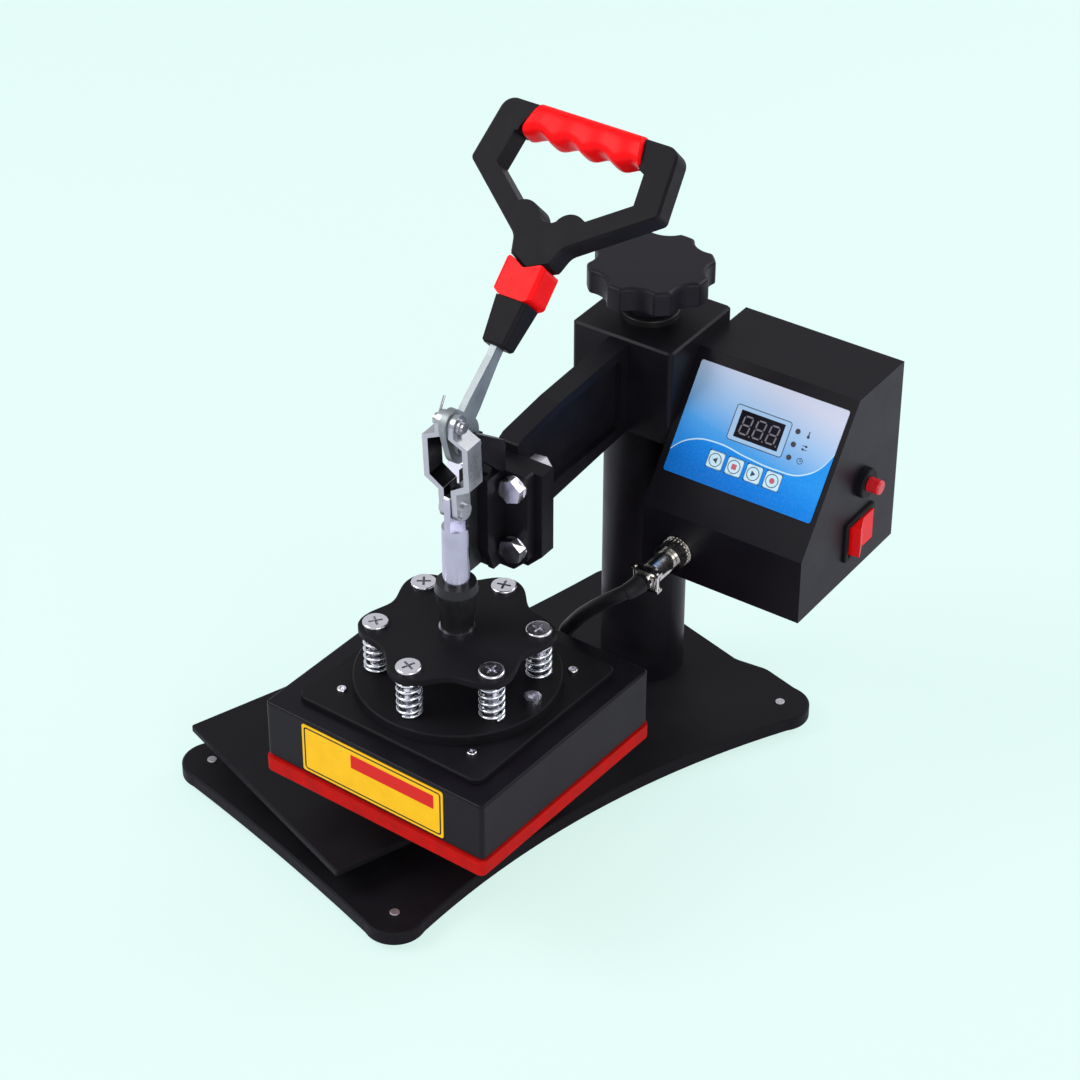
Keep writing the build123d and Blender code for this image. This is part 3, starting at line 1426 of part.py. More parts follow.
# Power rocker: bezel with its switch body, and the rocker that tilts between its ends
rocker_axis_x = box_right - 4.0
with BuildPart() as rocker_bezel:
    with BuildSketch(side(head, box_right)):
        with Locations((rocker_y, rocker_z)):
            RectangleRounded(rocker_bezel_length, rocker_bezel_height, 1.5)
    extrude(amount=rocker_bezel_thickness)
    chamfer(facing(rocker_bezel, tuple(head.x_dir)).edges(), length=0.7)
    with BuildSketch(side(head, box_right)):
        with Locations((rocker_y, rocker_z)):
            Rectangle(rocker_bezel_length - 4, rocker_bezel_height - 4)
    extrude(amount=-20)
    with BuildSketch(side(head, box_right + rocker_bezel_thickness)):
        with Locations((rocker_y, rocker_z)):
            Rectangle(rocker_length + 2 * rocker_gap, rocker_height + 2 * rocker_gap)
    extrude(amount=-17, mode=Mode.SUBTRACT)
    with BuildSketch(level(head, rocker_z - rocker_height / 2 - rocker_gap, rocker_axis_x, rocker_y)):
        Circle(1.6 - running_fit)
    extrude(amount=rocker_height + 2 * rocker_gap)
save(rocker_bezel, "rocker_bezel")

# The rocker's face is two planes that meet in a shallow valley over its axis
with BuildPart() as rocker:
    with BuildSketch(level(head, rocker_z - rocker_height / 2)):
        with BuildLine():
            half = rocker_length / 2 - 1.2
            crown = box_right + rocker_bezel_thickness + 3.2
            Polyline(
                (rocker_axis_x - 4.0, rocker_y),
                (rocker_axis_x - 1.0, rocker_y - half),
                (crown, rocker_y - half),
                (crown - half * tan(radians(rocker_tilt)), rocker_y),
                (crown, rocker_y + half),
                (rocker_axis_x - 1.0, rocker_y + half),
                close=True,
            )
        make_face()
    extrude(amount=rocker_height)
    with Locations(level(head, rocker_z + rocker_height / 2)):
        with Locations((rocker_axis_x, rocker_y)):
            Hole(radius=1.6, depth=rocker_height)
rocker_turned = rocker.part.rotate(
    Axis(head.from_local_coords(Vector(rocker_axis_x, rocker_y, rocker_z)), (0, 0, 1)), rocker_tilt
)
with BuildPart() as rocker_placed:
    add(rocker_turned)
save(rocker_placed, "rocker")

# Chassis socket: flange on the front wall, barrel and nut inside, thread outside
with BuildPart() as chassis_socket:
    with BuildSketch(front(head, box_front, socket_x, socket_z)):
        Circle(socket_flange_diameter / 2)
    extrude(amount=1.6)
    with BuildSketch(front(head, box_front - 1.6, socket_x, socket_z)):
        Circle(socket_barrel_diameter / 2)
    extrude(amount=-14)
    with BuildSketch(front(head, box_front - 1.6, socket_x, socket_z)):
        Circle(socket_barrel_diameter / 2)
    extrude(amount=5)
    with BuildSketch(front(head, box_front + box_sheet, socket_x, socket_z)):
        RegularPolygon(socket_flange_diameter / 2, 6)
    extrude(amount=-2.5)
save(chassis_socket, "chassis_socket")

# Plug: knurled ring that turns, and a shell with a saddle clamp for the cord
ring_rear = box_front - 1.6 - 0.4
ring_front = ring_rear - plug_ring_length
with BuildPart() as plug_ring:
    with BuildSketch(front(head, ring_rear, socket_x, socket_z)):
        Circle(plug_ring_diameter / 2)
        Circle(socket_barrel_diameter / 2 + 0.3, mode=Mode.SUBTRACT)
    extrude(amount=plug_ring_length)
    with BuildSketch(front(head, ring_rear, socket_x, socket_z)):
        with PolarLocations(plug_ring_diameter / 2, 24):
            Circle(0.55)
    extrude(amount=plug_ring_length - 2.0, mode=Mode.SUBTRACT)
save(plug_ring, "plug_ring")

shell_rear = ring_rear - 5.6
shell_end = shell_rear - plug_shell_length
saddle_end = shell_end - plug_saddle_length
with BuildPart() as plug_shell:
    with BuildSketch(front(head, shell_rear, socket_x, socket_z)):
        Circle(socket_barrel_diameter / 2)
    extrude(amount=shell_rear - ring_front + 0.3)
    with BuildSketch(front(head, ring_front - 0.3, socket_x, socket_z)):
        Circle(plug_shell_diameter / 2)
    extrude(amount=ring_front - 0.3 - shell_end)
    with BuildSketch(front(head, shell_end, socket_x, socket_z)):
        Circle(plug_shell_diameter / 2 - 0.4)
        Rectangle(plug_shell_diameter, cord_diameter + 2 * saddle_wall, mode=Mode.INTERSECT)
        Circle(cord_diameter / 2 + running_fit, mode=Mode.SUBTRACT)
    extrude(amount=plug_saddle_length)
    for row in (1, -1):
        bar_z = socket_z + row * (cord_diameter / 2 + saddle_wall / 2)
        with BuildSketch(level(head, bar_z, socket_x, (shell_end + saddle_end) / 2)):
            Rectangle(plug_shell_diameter + 5.4, 4.6)
        extrude(amount=row * 1.6)
    for x in (-1, 1):
        spot = (socket_x + x * (plug_shell_diameter / 2 + 0.9), (shell_end + saddle_end) / 2)
        with BuildSketch(level(head, socket_z - cord_diameter / 2 - 1.6, *spot)):
            Circle(1.1)
        extrude(amount=cord_diameter + 4.2)
save(plug_shell, "plug_shell")

# Mains inlet at the back: flange, moulded cavity and three pins
inlet_mouth = rear(head, box_back + inlet_flange_thickness, inlet_x, inlet_z)
with BuildPart() as mains_inlet:
    with BuildSketch(rear(head, box_back, inlet_x, inlet_z)):
        RectangleRounded(inlet_flange_width, inlet_flange_height, 3.0)
    extrude(amount=inlet_flange_thickness)
    with BuildSketch(rear(head, box_back, inlet_x, inlet_z)):
        Rectangle(inlet_width + 2.4, inlet_height + 2.4)
    extrude(amount=-inlet_depth)
    with BuildSketch(inlet_mouth):
        with BuildLine():
            FilletPolyline(
                (-inlet_width / 2, -inlet_height / 2),
                (inlet_width / 2, -inlet_height / 2),
                (inlet_width / 2, inlet_height / 2 - 5),
                (inlet_width / 2 - 5, inlet_height / 2),
                (-inlet_width / 2 + 5, inlet_height / 2),
                (-inlet_width / 2, inlet_height / 2 - 5),
                close=True,
                radius=1.5,
            )
        make_face()
    extrude(amount=-inlet_depth - inlet_flange_thickness + 2.0, mode=Mode.SUBTRACT)
save(mains_inlet, "mains_inlet")

with BuildPart() as inlet_pins:
    with BuildSketch(rear(head, box_back - inlet_depth + 2.0, inlet_x, inlet_z)):
        with Locations((-7, -1.5), (7, -1.5), (0, 3.0)):
            Rectangle(2.0, 4.0)
    extrude(amount=inlet_depth - 4.0)
save(inlet_pins, "inlet_pins")

# Elbow on the heater's rear wall: hollow, with its mouth upwards
elbow_foot = heater.from_local_coords(Vector(0, cover_length / 2, 0))
elbow_axis = heater.y_dir
elbow_centre_z = elbow_top - elbow_diameter
elbow_out = cover_length / 2 + elbow_diameter / 2 + 0.6
with BuildPart() as cord_elbow:
    with BuildSketch(rear(heater, cover_length / 2, elbow_x, elbow_centre_z)):
        Circle(elbow_diameter / 2 + 2)
    extrude(amount=2.0)
    with BuildSketch(rear(heater, cover_length / 2, elbow_x, elbow_centre_z)):
        Circle(elbow_diameter / 2)
    extrude(amount=elbow_out - cover_length / 2)
    with BuildSketch(level(heater, elbow_centre_z, elbow_x, elbow_out)):
        Circle(elbow_diameter / 2)
    extrude(amount=elbow_top - elbow_centre_z)
    fillet(cord_elbow.edges().group_by(Axis.Z)[-1], radius=1.0)
    with Locations(level(heater, elbow_centre_z, elbow_x, elbow_out)):
        Sphere(radius=elbow_diameter / 2)
    with Locations(level(heater, elbow_top, elbow_x, elbow_out)):
        Hole(radius=elbow_bore / 2, depth=elbow_diameter * 1.1)
save(cord_elbow, "cord_elbow")

# Heater cord: leaves the plug forwards, bends left and down, and drops into the elbow
elbow_mouth = head.to_local_coords(heater.from_local_coords(Vector(elbow_x, elbow_out, elbow_top - 1.0)))
cord_points = [
    (socket_x, shell_end, socket_z),
    (socket_x, shell_end - 15.0, socket_z - 0.5),
    (51.0, -107.5, 144.0),
    (40.0, -109.5, 134.5),
    (28.0, -109.0, 122.0),
    (elbow_mouth.X + 4.5, elbow_mouth.Y, 111.5),
    (elbow_mouth.X, elbow_mouth.Y, 105.0),
    (elbow_mouth.X, elbow_mouth.Y, elbow_top - 1.0),
]
cord_route = [head.from_local_coords(Vector(*p)) for p in cord_points]
cord_radii = []
for before, here, after in zip(cord_route, cord_route[1:], cord_route[2:]):
    turn = radians((here - before).get_angle(after - here))
    cord_radii.append(0.45 * min((here - before).length, (after - here).length) / tan(turn / 2))
print("cord radii", [round(r, 1) for r in cord_radii])
with BuildPart() as heater_cord:
    with BuildLine() as cord_line:
        FilletPolyline(*cord_route, radius=cord_radii)
    cord_path = cord_line.wires()[0]
    with BuildSketch(Plane(origin=cord_path @ 0, z_dir=cord_path % 0)):
        Circle(cord_diameter / 2)
    sweep(path=cord_path)
print("cord length", round(cord_path.length, 1))
print("cord volume", round(heater_cord.part.volume), "from its section", round(pi * cord_diameter**2 / 4 * cord_path.length))
save(heater_cord, "heater_cord")
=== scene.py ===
# %% [markdown]
# # A small swing-away heat press
#
# The construction model already has every rigid piece in its place. This lesson dresses it:
# it lights the press as in a catalogue, gives each piece the finish that its maker would,
# and makes anew the few pieces that look better as smooth surfaces than as solids.
# All lengths are in metres, in the frame of the construction model.

import math

import bmesh
import bpy
import numpy as np
from mathutils import Matrix, Vector


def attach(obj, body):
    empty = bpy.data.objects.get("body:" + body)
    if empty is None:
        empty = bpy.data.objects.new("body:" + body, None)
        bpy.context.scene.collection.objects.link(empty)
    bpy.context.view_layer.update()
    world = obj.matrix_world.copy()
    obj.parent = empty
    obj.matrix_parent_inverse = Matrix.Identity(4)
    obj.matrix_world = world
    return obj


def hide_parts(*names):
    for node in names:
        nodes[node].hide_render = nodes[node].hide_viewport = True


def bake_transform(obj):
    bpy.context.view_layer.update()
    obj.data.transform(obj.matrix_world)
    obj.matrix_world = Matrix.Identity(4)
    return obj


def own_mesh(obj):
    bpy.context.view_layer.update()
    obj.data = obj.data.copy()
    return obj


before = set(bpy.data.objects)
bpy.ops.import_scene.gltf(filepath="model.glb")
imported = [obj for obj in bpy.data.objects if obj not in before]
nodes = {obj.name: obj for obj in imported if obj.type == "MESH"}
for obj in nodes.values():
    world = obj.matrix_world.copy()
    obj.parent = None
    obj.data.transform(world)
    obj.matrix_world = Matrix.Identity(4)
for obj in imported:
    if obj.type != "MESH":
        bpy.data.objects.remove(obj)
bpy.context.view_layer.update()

# %% [markdown]
# ## The press's own frames
#
# The column is the axis of the whole machine. The head with its beam, toggle and control box
# stands turned about it, and the heater is turned a little more. A piece that belongs to the
# head is easiest to describe in the head's frame, so one small function carries points from
# such a frame into the world. A full transform per object would also work, but then the mesh
# would not lie where it is drawn, and the patterns on it would slide.

# %% Frames of the head and the heater
MM = 0.001
UP = np.array([0.0, 0.0, 1.0])
COLUMN = np.array([-21.95, 95.45, 0.0]) * MM
HEAD_TURN = math.radians(15.54)
HEATER_TURN = math.radians(15.54 - 2.77)
REACH = 188.7 * MM


def axes_turned(angle):
    """Rows are the X, Y and Z directions of an upright frame turned by angle about Z."""
    c, s = math.cos(angle), math.sin(angle)
    return np.array([[c, s, 0.0], [-s, c, 0.0], [0.0, 0.0, 1.0]])


HEAD_AXES = axes_turned(HEAD_TURN)
HEATER_AXES = axes_turned(HEATER_TURN)
HEATER_FOOT = COLUMN + np.array([0.0, -REACH, 0.0]) @ HEAD_AXES


def placed(points, axes, origin):
    """World points: the sum of each coordinate times its axis, plus the origin."""
    return np.asarray(points, float) @ axes + origin


print("heater stands at", HEATER_FOOT.round(4))

# %% [markdown]
# ## Camera
#
# A long lens from the front right and above, as a catalogue picture is taken. Forward, right
# and down are worked out from azimuth and elevation, and then turned by a very small roll.

# %% Camera
PHOTO_WIDTH = 1080
FOCAL_PIXELS = 3205.97
SENSOR_WIDTH = 36.0
EYE_FROM_COLUMN = np.array([1141.61, -1042.77, 1188.13]) * MM
azimuth, elevation, roll = math.radians(-49.877), math.radians(35.2007), math.radians(-0.1036)
level_forward = np.array([math.sin(azimuth), math.cos(azimuth), 0.0])
forward = math.cos(elevation) * level_forward - math.sin(elevation) * UP
level_right = np.array([math.cos(azimuth), -math.sin(azimuth), 0.0])
level_down = np.cross(forward, level_right)
right = math.cos(roll) * level_right + math.sin(roll) * level_down
down = -math.sin(roll) * level_right + math.cos(roll) * level_down
camera_data = bpy.data.cameras.new("camera")
camera_data.sensor_width = SENSOR_WIDTH
camera_data.lens = FOCAL_PIXELS / PHOTO_WIDTH * SENSOR_WIDTH
camera = bpy.data.objects.new("camera", camera_data)
bpy.context.scene.collection.objects.link(camera)
turn = Matrix((right, -down, -forward)).transposed().to_4x4()
eye = Vector(COLUMN + EYE_FROM_COLUMN)
camera.matrix_world = Matrix.Translation(eye) @ turn
bpy.context.scene.camera = camera
print("camera", eye[:], "lens", round(camera_data.lens, 2))

# %% [markdown]
# ## Surfaces from numbers
#
# Every new round piece is a grid of points: one parameter runs along the piece and one round
# it. The faces of such a grid follow from its shape alone, so one function builds them all. A
# subdivided box could be pushed into shape too, but a grid says exactly what it is. The small
# flat pieces are plates: an outline at two heights.

# %% Grid surface
new_pieces = []


def grid_faces(rows, columns, round_rows, round_columns):
    """Quads between neighbours of a grid.

    A grid that is round in a direction joins its last line to its first.
    """
    u = np.arange(rows if round_rows else rows - 1)
    v = np.arange(columns if round_columns else columns - 1)
    u, v = np.meshgrid(u, v, indexing="ij")
    ahead, beside = (u + 1) % rows, (v + 1) % columns
    corners = [u * columns + v, u * columns + beside, ahead * columns + beside, ahead * columns + v]
    return np.stack(corners, -1).reshape(-1, 4)


def mesh_piece(name, points, faces, smooth=True):
    """An object with these world points and these faces, and its origin at the world's origin."""
    mesh = bpy.data.meshes.new(name)
    rows = np.asarray(points).reshape(-1, 3).tolist()
    mesh.from_pydata(rows, [], [list(map(int, f)) for f in faces])
    mesh.update()
    mesh.polygons.foreach_set("use_smooth", np.full(len(mesh.polygons), smooth))
    piece = bpy.data.objects.new(name, mesh)
    bpy.context.scene.collection.objects.link(piece)
    new_pieces.append(piece)
    return piece


def outward(piece):
    """Turn every face outwards, for closed forms."""
    shape = bmesh.new()
    shape.from_mesh(piece.data)
    bmesh.ops.remove_doubles(shape, verts=shape.verts, dist=1e-7)
    bmesh.ops.recalc_face_normals(shape, faces=shape.faces)
    shape.to_mesh(piece.data)
    shape.free()
    return piece


def plates(name, outlines, z_low, z_high, axes, origin):
    """Flat plates of one thickness, in millimetres.

    Each outline is a closed row of x, y points, listed once at each height.
    """
    points, faces = [], []
    for outline in outlines:
        outline = np.asarray(outline, float)
        n, first = len(outline), sum(len(p) for p in points)
        low = np.column_stack([outline, np.full(n, z_low)])
        high = np.column_stack([outline, np.full(n, z_high)])
        points.append(np.vstack([low, high]))
        ring = np.arange(n)
        faces += [list(first + ring[::-1]), list(first + n + ring)]
        ahead = (ring + 1) % n
        faces += (first + np.stack([ring, ahead, n + ahead, n + ring], -1)).tolist()
    return mesh_piece(name, placed(np.vstack(points) * MM, axes, origin), faces, smooth=False)


# %% [markdown]
# ## Heater cord
#
# The cord leaves the plug on the front of the control box, bends left and down beside the
# column, and drops into the elbow at the back of the heater. Its line is one smooth spline
# with the route's points as control points. The tube round it is a grid: a circle square to
# the line at each of its points.

# %% Cord line
def head_points(rows):
    """World points, in metres, of rows given in the head's frame in millimetres."""
    return placed(np.array(rows) * MM, HEAD_AXES, COLUMN)


CORD_DIAMETER = 8.4 * MM
COVER_LENGTH, ELBOW_WIDTH, ELBOW_GAP = 149.0, 13.5, 0.6
BOX_FRONT, SOCKET_DEPTH, RING_DEPTH, SHELL_DEPTH = -57.4, 2.0, 5.6, 20.0
MOUTH_X, MOUTH_HEIGHT = 12.0, 98.0
PLUG_X, PLUG_HEIGHT = 58.0, 148.0
mouth_row = np.array([MOUTH_X, COVER_LENGTH / 2 + ELBOW_WIDTH / 2 + ELBOW_GAP, MOUTH_HEIGHT])
mouth_world = placed(mouth_row * MM, HEATER_AXES, HEATER_FOOT)
mouth_x, mouth_y = ((mouth_world - COLUMN) @ HEAD_AXES.T / MM)[:2]
shell_end = BOX_FRONT - SOCKET_DEPTH - RING_DEPTH - SHELL_DEPTH
route = head_points([
    (PLUG_X, shell_end, PLUG_HEIGHT),
    (PLUG_X, shell_end - 15.0, 147.5),
    (51.0, -107.5, 144.0),
    (40.0, -109.5, 134.5),
    (28.0, -109.0, 122.0),
    (mouth_x + 4.5, mouth_y, 111.5),
    (mouth_x, mouth_y, 105.0),
    (mouth_x, mouth_y, MOUTH_HEIGHT),
])
line_data = bpy.data.curves.new("cord_line", "CURVE")
line_data.dimensions = "3D"
spline = line_data.splines.new("NURBS")
spline.points.add(len(route) - 1)
spline.points.foreach_set("co", np.column_stack([route, np.ones(len(route))]).ravel())
spline.order_u = 3
spline.use_endpoint_u = True
spline.resolution_u = 16
line_object = bpy.data.objects.new("cord_line", line_data)
bpy.context.scene.collection.objects.link(line_object)
read = bpy.data.meshes.new_from_object(line_object)
cord_path = np.empty(len(read.vertices) * 3)
read.vertices.foreach_get("co", cord_path)
cord_path = cord_path.reshape(-1, 3)
bpy.data.objects.remove(line_object)


# %% Tube round a line
def tube_grid(path, radii, sides):
    """Circle of the given radius at each path point, square to the path.

    A point is centre + radius (cos v a + sin v b), where a and b are square to the path.
    """
    along = np.gradient(path, axis=0)
    along /= np.linalg.norm(along, axis=1)[:, None]
    guide = np.array([0.31, 0.93, -0.2])
    a = np.cross(along, guide)
    a /= np.linalg.norm(a, axis=1)[:, None]
    b = np.cross(along, a)
    v = np.linspace(0, 2 * np.pi, sides, endpoint=False)
    circle = np.cos(v)[None, :, None] * a[:, None] + np.sin(v)[None, :, None] * b[:, None]
    return path[:, None] + np.asarray(radii)[:, None, None] * circle


def closed_tube(name, grid):
    """A tube whose two ends are closed by a fan to their middles."""
    rows, sides = grid.shape[:2]
    faces = grid_faces(rows, sides, False, True).tolist()
    ring = np.arange(sides)
    middle = rows * sides
    faces += np.stack([np.full(sides, middle), (ring + 1) % sides, ring], -1).tolist()
    ring, ahead = ring + (rows - 1) * sides, (ring + 1) % sides + (rows - 1) * sides
    faces += np.stack([np.full(sides, middle + 1), ring, ahead], -1).tolist()
    points = np.vstack([grid.reshape(-1, 3), grid[0].mean(0), grid[-1].mean(0)])
    return outward(mesh_piece(name, points, faces))


CORD_SIDES = 40
BOOT_LENGTH = 0.021
cord_radii = np.full(len(cord_path), CORD_DIAMETER / 2)
cord = closed_tube("heater_flex", tube_grid(cord_path, cord_radii, CORD_SIDES))
walked = np.concatenate([[0.0], np.cumsum(np.linalg.norm(np.diff(cord_path, axis=0), axis=1))])
on_boot = walked < BOOT_LENGTH
BOOT_STATIONS, BOOT_WALLS = [0, 0.0095, 0.011, BOOT_LENGTH], [0.0002, 0.0002, 0.0013, 0.0004]
boot_wall = np.interp(walked[on_boot], BOOT_STATIONS, BOOT_WALLS)
boot_radii = CORD_DIAMETER / 2 + boot_wall
boot = closed_tube("cord_boot", tube_grid(cord_path[on_boot], boot_radii, CORD_SIDES))

# %% [markdown]
# ## Springs
#
# Six compression springs stand round the plunger, under the star plate. Each is a tube round a
# helix, whose pitch falls to nothing over the first and the last half turn, so that the ends
# lie flat. Each is a piece of its own. Its top stands under the star plate, which is 146.2 mm
# above the table.

# %% Springs
SPRING_TURNS, SPRING_LOW, SPRING_HIGH = 6.0, 122.2, 145.0
SPRING_RADIUS, WIRE_RADIUS, SPRING_CIRCLE = 6.5, 0.85, 44.3
turns = np.linspace(0, SPRING_TURNS, 360)
turn_marks = [0, 0.4, 1.0, SPRING_TURNS - 1.0, SPRING_TURNS - 0.4, SPRING_TURNS]
climb = np.interp(turns, turn_marks, [0, 0.015, 0.1, 0.9, 0.985, 1])
height = SPRING_LOW + climb * (SPRING_HIGH - SPRING_LOW)


def spring(name, spot):
    """Tube round a helix: centre + radius (cos, sin) of the turns, at the climb's height."""
    turned = 2 * np.pi * turns + spot
    x = SPRING_CIRCLE * math.cos(spot) + SPRING_RADIUS * np.cos(turned)
    y = -REACH / MM + SPRING_CIRCLE * math.sin(spot) + SPRING_RADIUS * np.sin(turned)
    path = head_points(np.column_stack([x, y, height]))
    return closed_tube(name, tube_grid(path, np.full(len(turns), WIRE_RADIUS * MM), 14))


coils = [spring(f"coil_{n + 1}", math.radians(30 + 60 * n)) for n in range(6)]
print("spring points", sum(len(c.data.vertices) for c in coils))

# %% [markdown]
# ## Grip
#
# The grip is moulded plastic with four finger bumps. Its cross-section is a rounded box, a
# superellipse, and the lower edge goes down and up along the bar as a wave. Both ends are
# slanted, because the left and right limits depend on the height in the section. Three short
# rows at either end turn the skin in towards the middle, so that the ends are closed and soft.

# %% Handle frame
STEM_ANGLE = math.radians(43.7)
STEM_ORIGIN = placed(np.array([0.0, -178.3, 280.2]) * MM, HEAD_AXES, COLUMN)
STEM_AXES = np.array([
    HEAD_AXES[0],
    math.cos(STEM_ANGLE) * HEAD_AXES[1] + math.sin(STEM_ANGLE) * HEAD_AXES[2],
    -math.sin(STEM_ANGLE) * HEAD_AXES[1] + math.cos(STEM_ANGLE) * HEAD_AXES[2],
])


# %% Grip surface
def superellipse(v, power):
    """Pair of signed powers of cosine and sine: 2 / power under one squares the circle."""
    c, s = np.cos(v), np.sin(v)
    return np.sign(c) * np.abs(c) ** (2 / power), np.sign(s) * np.abs(s) ** (2 / power)


GRIP_TOP, GRIP_UNDERSIDE, GRIP_HALF_DEPTH = 169.78, 153.8, 10.4
GRIP_LEFT, LEFT_SLANT = -36.5, 4.6
GRIP_RIGHT, RIGHT_SLANT = 36.7, 4.2
SLANT_FOOT, SLANT_HEIGHT = 153.6, 16.6
BUMP_DEPTH, BUMP_PITCH = 3.4, 20.6
BUMPS_FROM, BUMPS_TO, BUMP_TROUGH = -38.7, 36.7, -49.9
ROUNDNESS = 3.4


def grip_grid(rows=220, columns=72):
    """Point at u along the bar and v round it.

    Height = middle + half height times the superellipse's sine, with the lower edge at the
    wave's depth. x runs between two slanted ends that depend on the height.
    """
    u = np.linspace(0, 1, rows)[:, None]
    v = np.linspace(0, 2 * np.pi, columns, endpoint=False)[None, :]
    across, upright = superellipse(v, ROUNDNESS)
    x_rough = BUMPS_FROM + u * (BUMPS_TO - BUMPS_FROM)
    phase = 2 * np.pi * (x_rough - BUMP_TROUGH) / BUMP_PITCH
    wave = BUMP_DEPTH * (0.5 - 0.5 * np.cos(phase))
    low, high = GRIP_UNDERSIDE - wave, GRIP_TOP
    height = (low + high) / 2 + (high - low) / 2 * upright
    share = np.clip((height - SLANT_FOOT) / SLANT_HEIGHT, 0, 1)
    left_end = GRIP_LEFT + share * LEFT_SLANT
    right_end = GRIP_RIGHT - share * RIGHT_SLANT
    x = left_end + u * (right_end - left_end)
    depth = GRIP_HALF_DEPTH * across * (1 - 0.03 * np.cos(phase))
    return np.stack([x, height, depth + 0 * x], -1)


def end_rows(section, outward_step):
    """The section three times, shrunk to its middle, the two smallest set outwards by the step."""
    middle = section.mean(0)
    shrink = np.array([0.8, 0.92, 0.975])[:, None, None]
    step = np.array([outward_step, 0, 0]) * (shrink < 0.96)
    return middle + (section - middle) * shrink + step


skin = grip_grid()
skin[:, :, 0] *= 0.975
grip_points = np.concatenate([end_rows(skin[0], -0.9), skin, end_rows(skin[-1], 0.9)[::-1]]) * MM
grip = closed_tube("finger_grip", placed(grip_points, STEM_AXES, STEM_ORIGIN))
print("grip points", len(grip.data.vertices))

# %% [markdown]
# ## Display, lamps and key symbols
#
# Behind the smoked window three unlit digits of seven bars each are just visible. A bar is a
# flat six-cornered plate. The keys carry simple drawn symbols, and beside the lamps stand
# three small pictures. They are thin plates as well, printed on the film.

# %% Panel frame
SLOPE_BACK, SLOPE_HIGH, SLOPE_LOW = -1.8, 246.6, 170.7
PANEL_TOP = placed(np.array([0.0, SLOPE_BACK, SLOPE_HIGH]) * MM, HEAD_AXES, COLUMN)
slope_down = np.array([0.0, BOX_FRONT - SLOPE_BACK, SLOPE_LOW - SLOPE_HIGH])
slope_down /= np.linalg.norm(slope_down)
slope_up = -slope_down @ HEAD_AXES
PANEL_AXES = np.array([HEAD_AXES[0], slope_up, np.cross(HEAD_AXES[0], slope_up)])
print("panel faces", PANEL_AXES[2].round(3))


# %% Digits
def bar(x, y, length, width, upright):
    """Six-cornered bar: a strip with both ends brought to a point."""
    h, w = length / 2, width / 2
    shape = np.array([[-h, 0], [-h + w, w], [h - w, w], [h, 0], [h - w, -w], [-h + w, -w]])
    shape = shape[::-1, ::-1] if upright else shape
    return shape[::-1] + np.array([x, y])


def digit(x, y, size):
    """The seven bars of one digit about x, y, sheared a little to the right as displays are."""
    half = size / 2
    spots = [(0, size, False), (0, 0, False), (0, -size, False)]
    spots += [(a, b, True) for b in (half, -half) for a in (-half, half)]
    bars = [bar(a * 1.06, b * 1.03, size * 0.9, size * 0.18, upright) for a, b, upright in spots]
    return [np.column_stack([b[:, 0] + b[:, 1] * 0.1 + x, b[:, 1] + y]) for b in bars]


def disc(x, y, radius, sides=24):
    """Regular many-sided disc."""
    a = np.linspace(0, 2 * np.pi, sides, endpoint=False)
    return np.column_stack([x + radius * np.cos(a), y + radius * np.sin(a)])


WINDOW = (72.6 + 28.0 / 2, -(25.9 + 15.6 / 2))
DIGIT_PITCH, DIGIT_SIZE = 8.5, 4.9
DOT_ASIDE, DOT_DOWN, DOT_RADIUS = 3.8, 5.4, 0.42
digit_bars = []
for step in (-1, 0, 1):
    middle = WINDOW[0] + step * DIGIT_PITCH
    digit_bars += digit(middle, WINDOW[1], DIGIT_SIZE)
    digit_bars.append(disc(middle + DOT_ASIDE, WINDOW[1] - DOT_DOWN, DOT_RADIUS))
digits = outward(plates("display_digits", digit_bars, 0.50, 0.56, PANEL_AXES, PANEL_TOP))
print("bars and dots", len(digit_bars))


# %% Symbols on the keys and beside the lamps
def ring_plate(name, x, y, outer, inner, z_low, z_high, sides=48):
    """Flat ring about x, y: a square section carried round a circle."""
    a = np.linspace(0, 2 * np.pi, sides, endpoint=False)[:, None]
    radii = np.array([inner, outer, outer, inner])[None, :]
    heights = np.array([z_low, z_low, z_high, z_high])[None, :] + 0 * a
    points = np.stack([x + radii * np.cos(a), y + radii * np.sin(a), heights], -1).reshape(-1, 3)
    faces = grid_faces(sides, 4, True, True)
    return outward(mesh_piece(name, placed(points * MM, PANEL_AXES, PANEL_TOP), faces, smooth=False))


def box(left, low, right, high):
    """Four corners, anticlockwise from the lower left."""
    return np.array([[left, low], [right, low], [right, high], [left, high]])


KEY_SPOTS = [(67.7 + 12.2 * n, -57.4) for n in range(4)]
key_rings = [
    ring_plate(f"key_ring_{n + 1}", x, y, 3.9, 3.45, 1.2, 1.26)
    for n, (x, y) in enumerate(KEY_SPOTS)
]
marks = [
    np.array([[-1.6, 0], [1.2, -1.7], [1.2, 1.7]]),
    box(-1.5, -1.5, 1.5, 1.5),
    np.array([[1.6, 0], [-1.2, 1.7], [-1.2, -1.7]]),
    disc(0, 0, 1.6),
]
key_marks = [
    outward(plates(f"key_mark_{n + 1}", [mark + np.array(spot)], 1.2, 1.27, PANEL_AXES, PANEL_TOP))
    for n, (mark, spot) in enumerate(zip(marks, KEY_SPOTS))
]
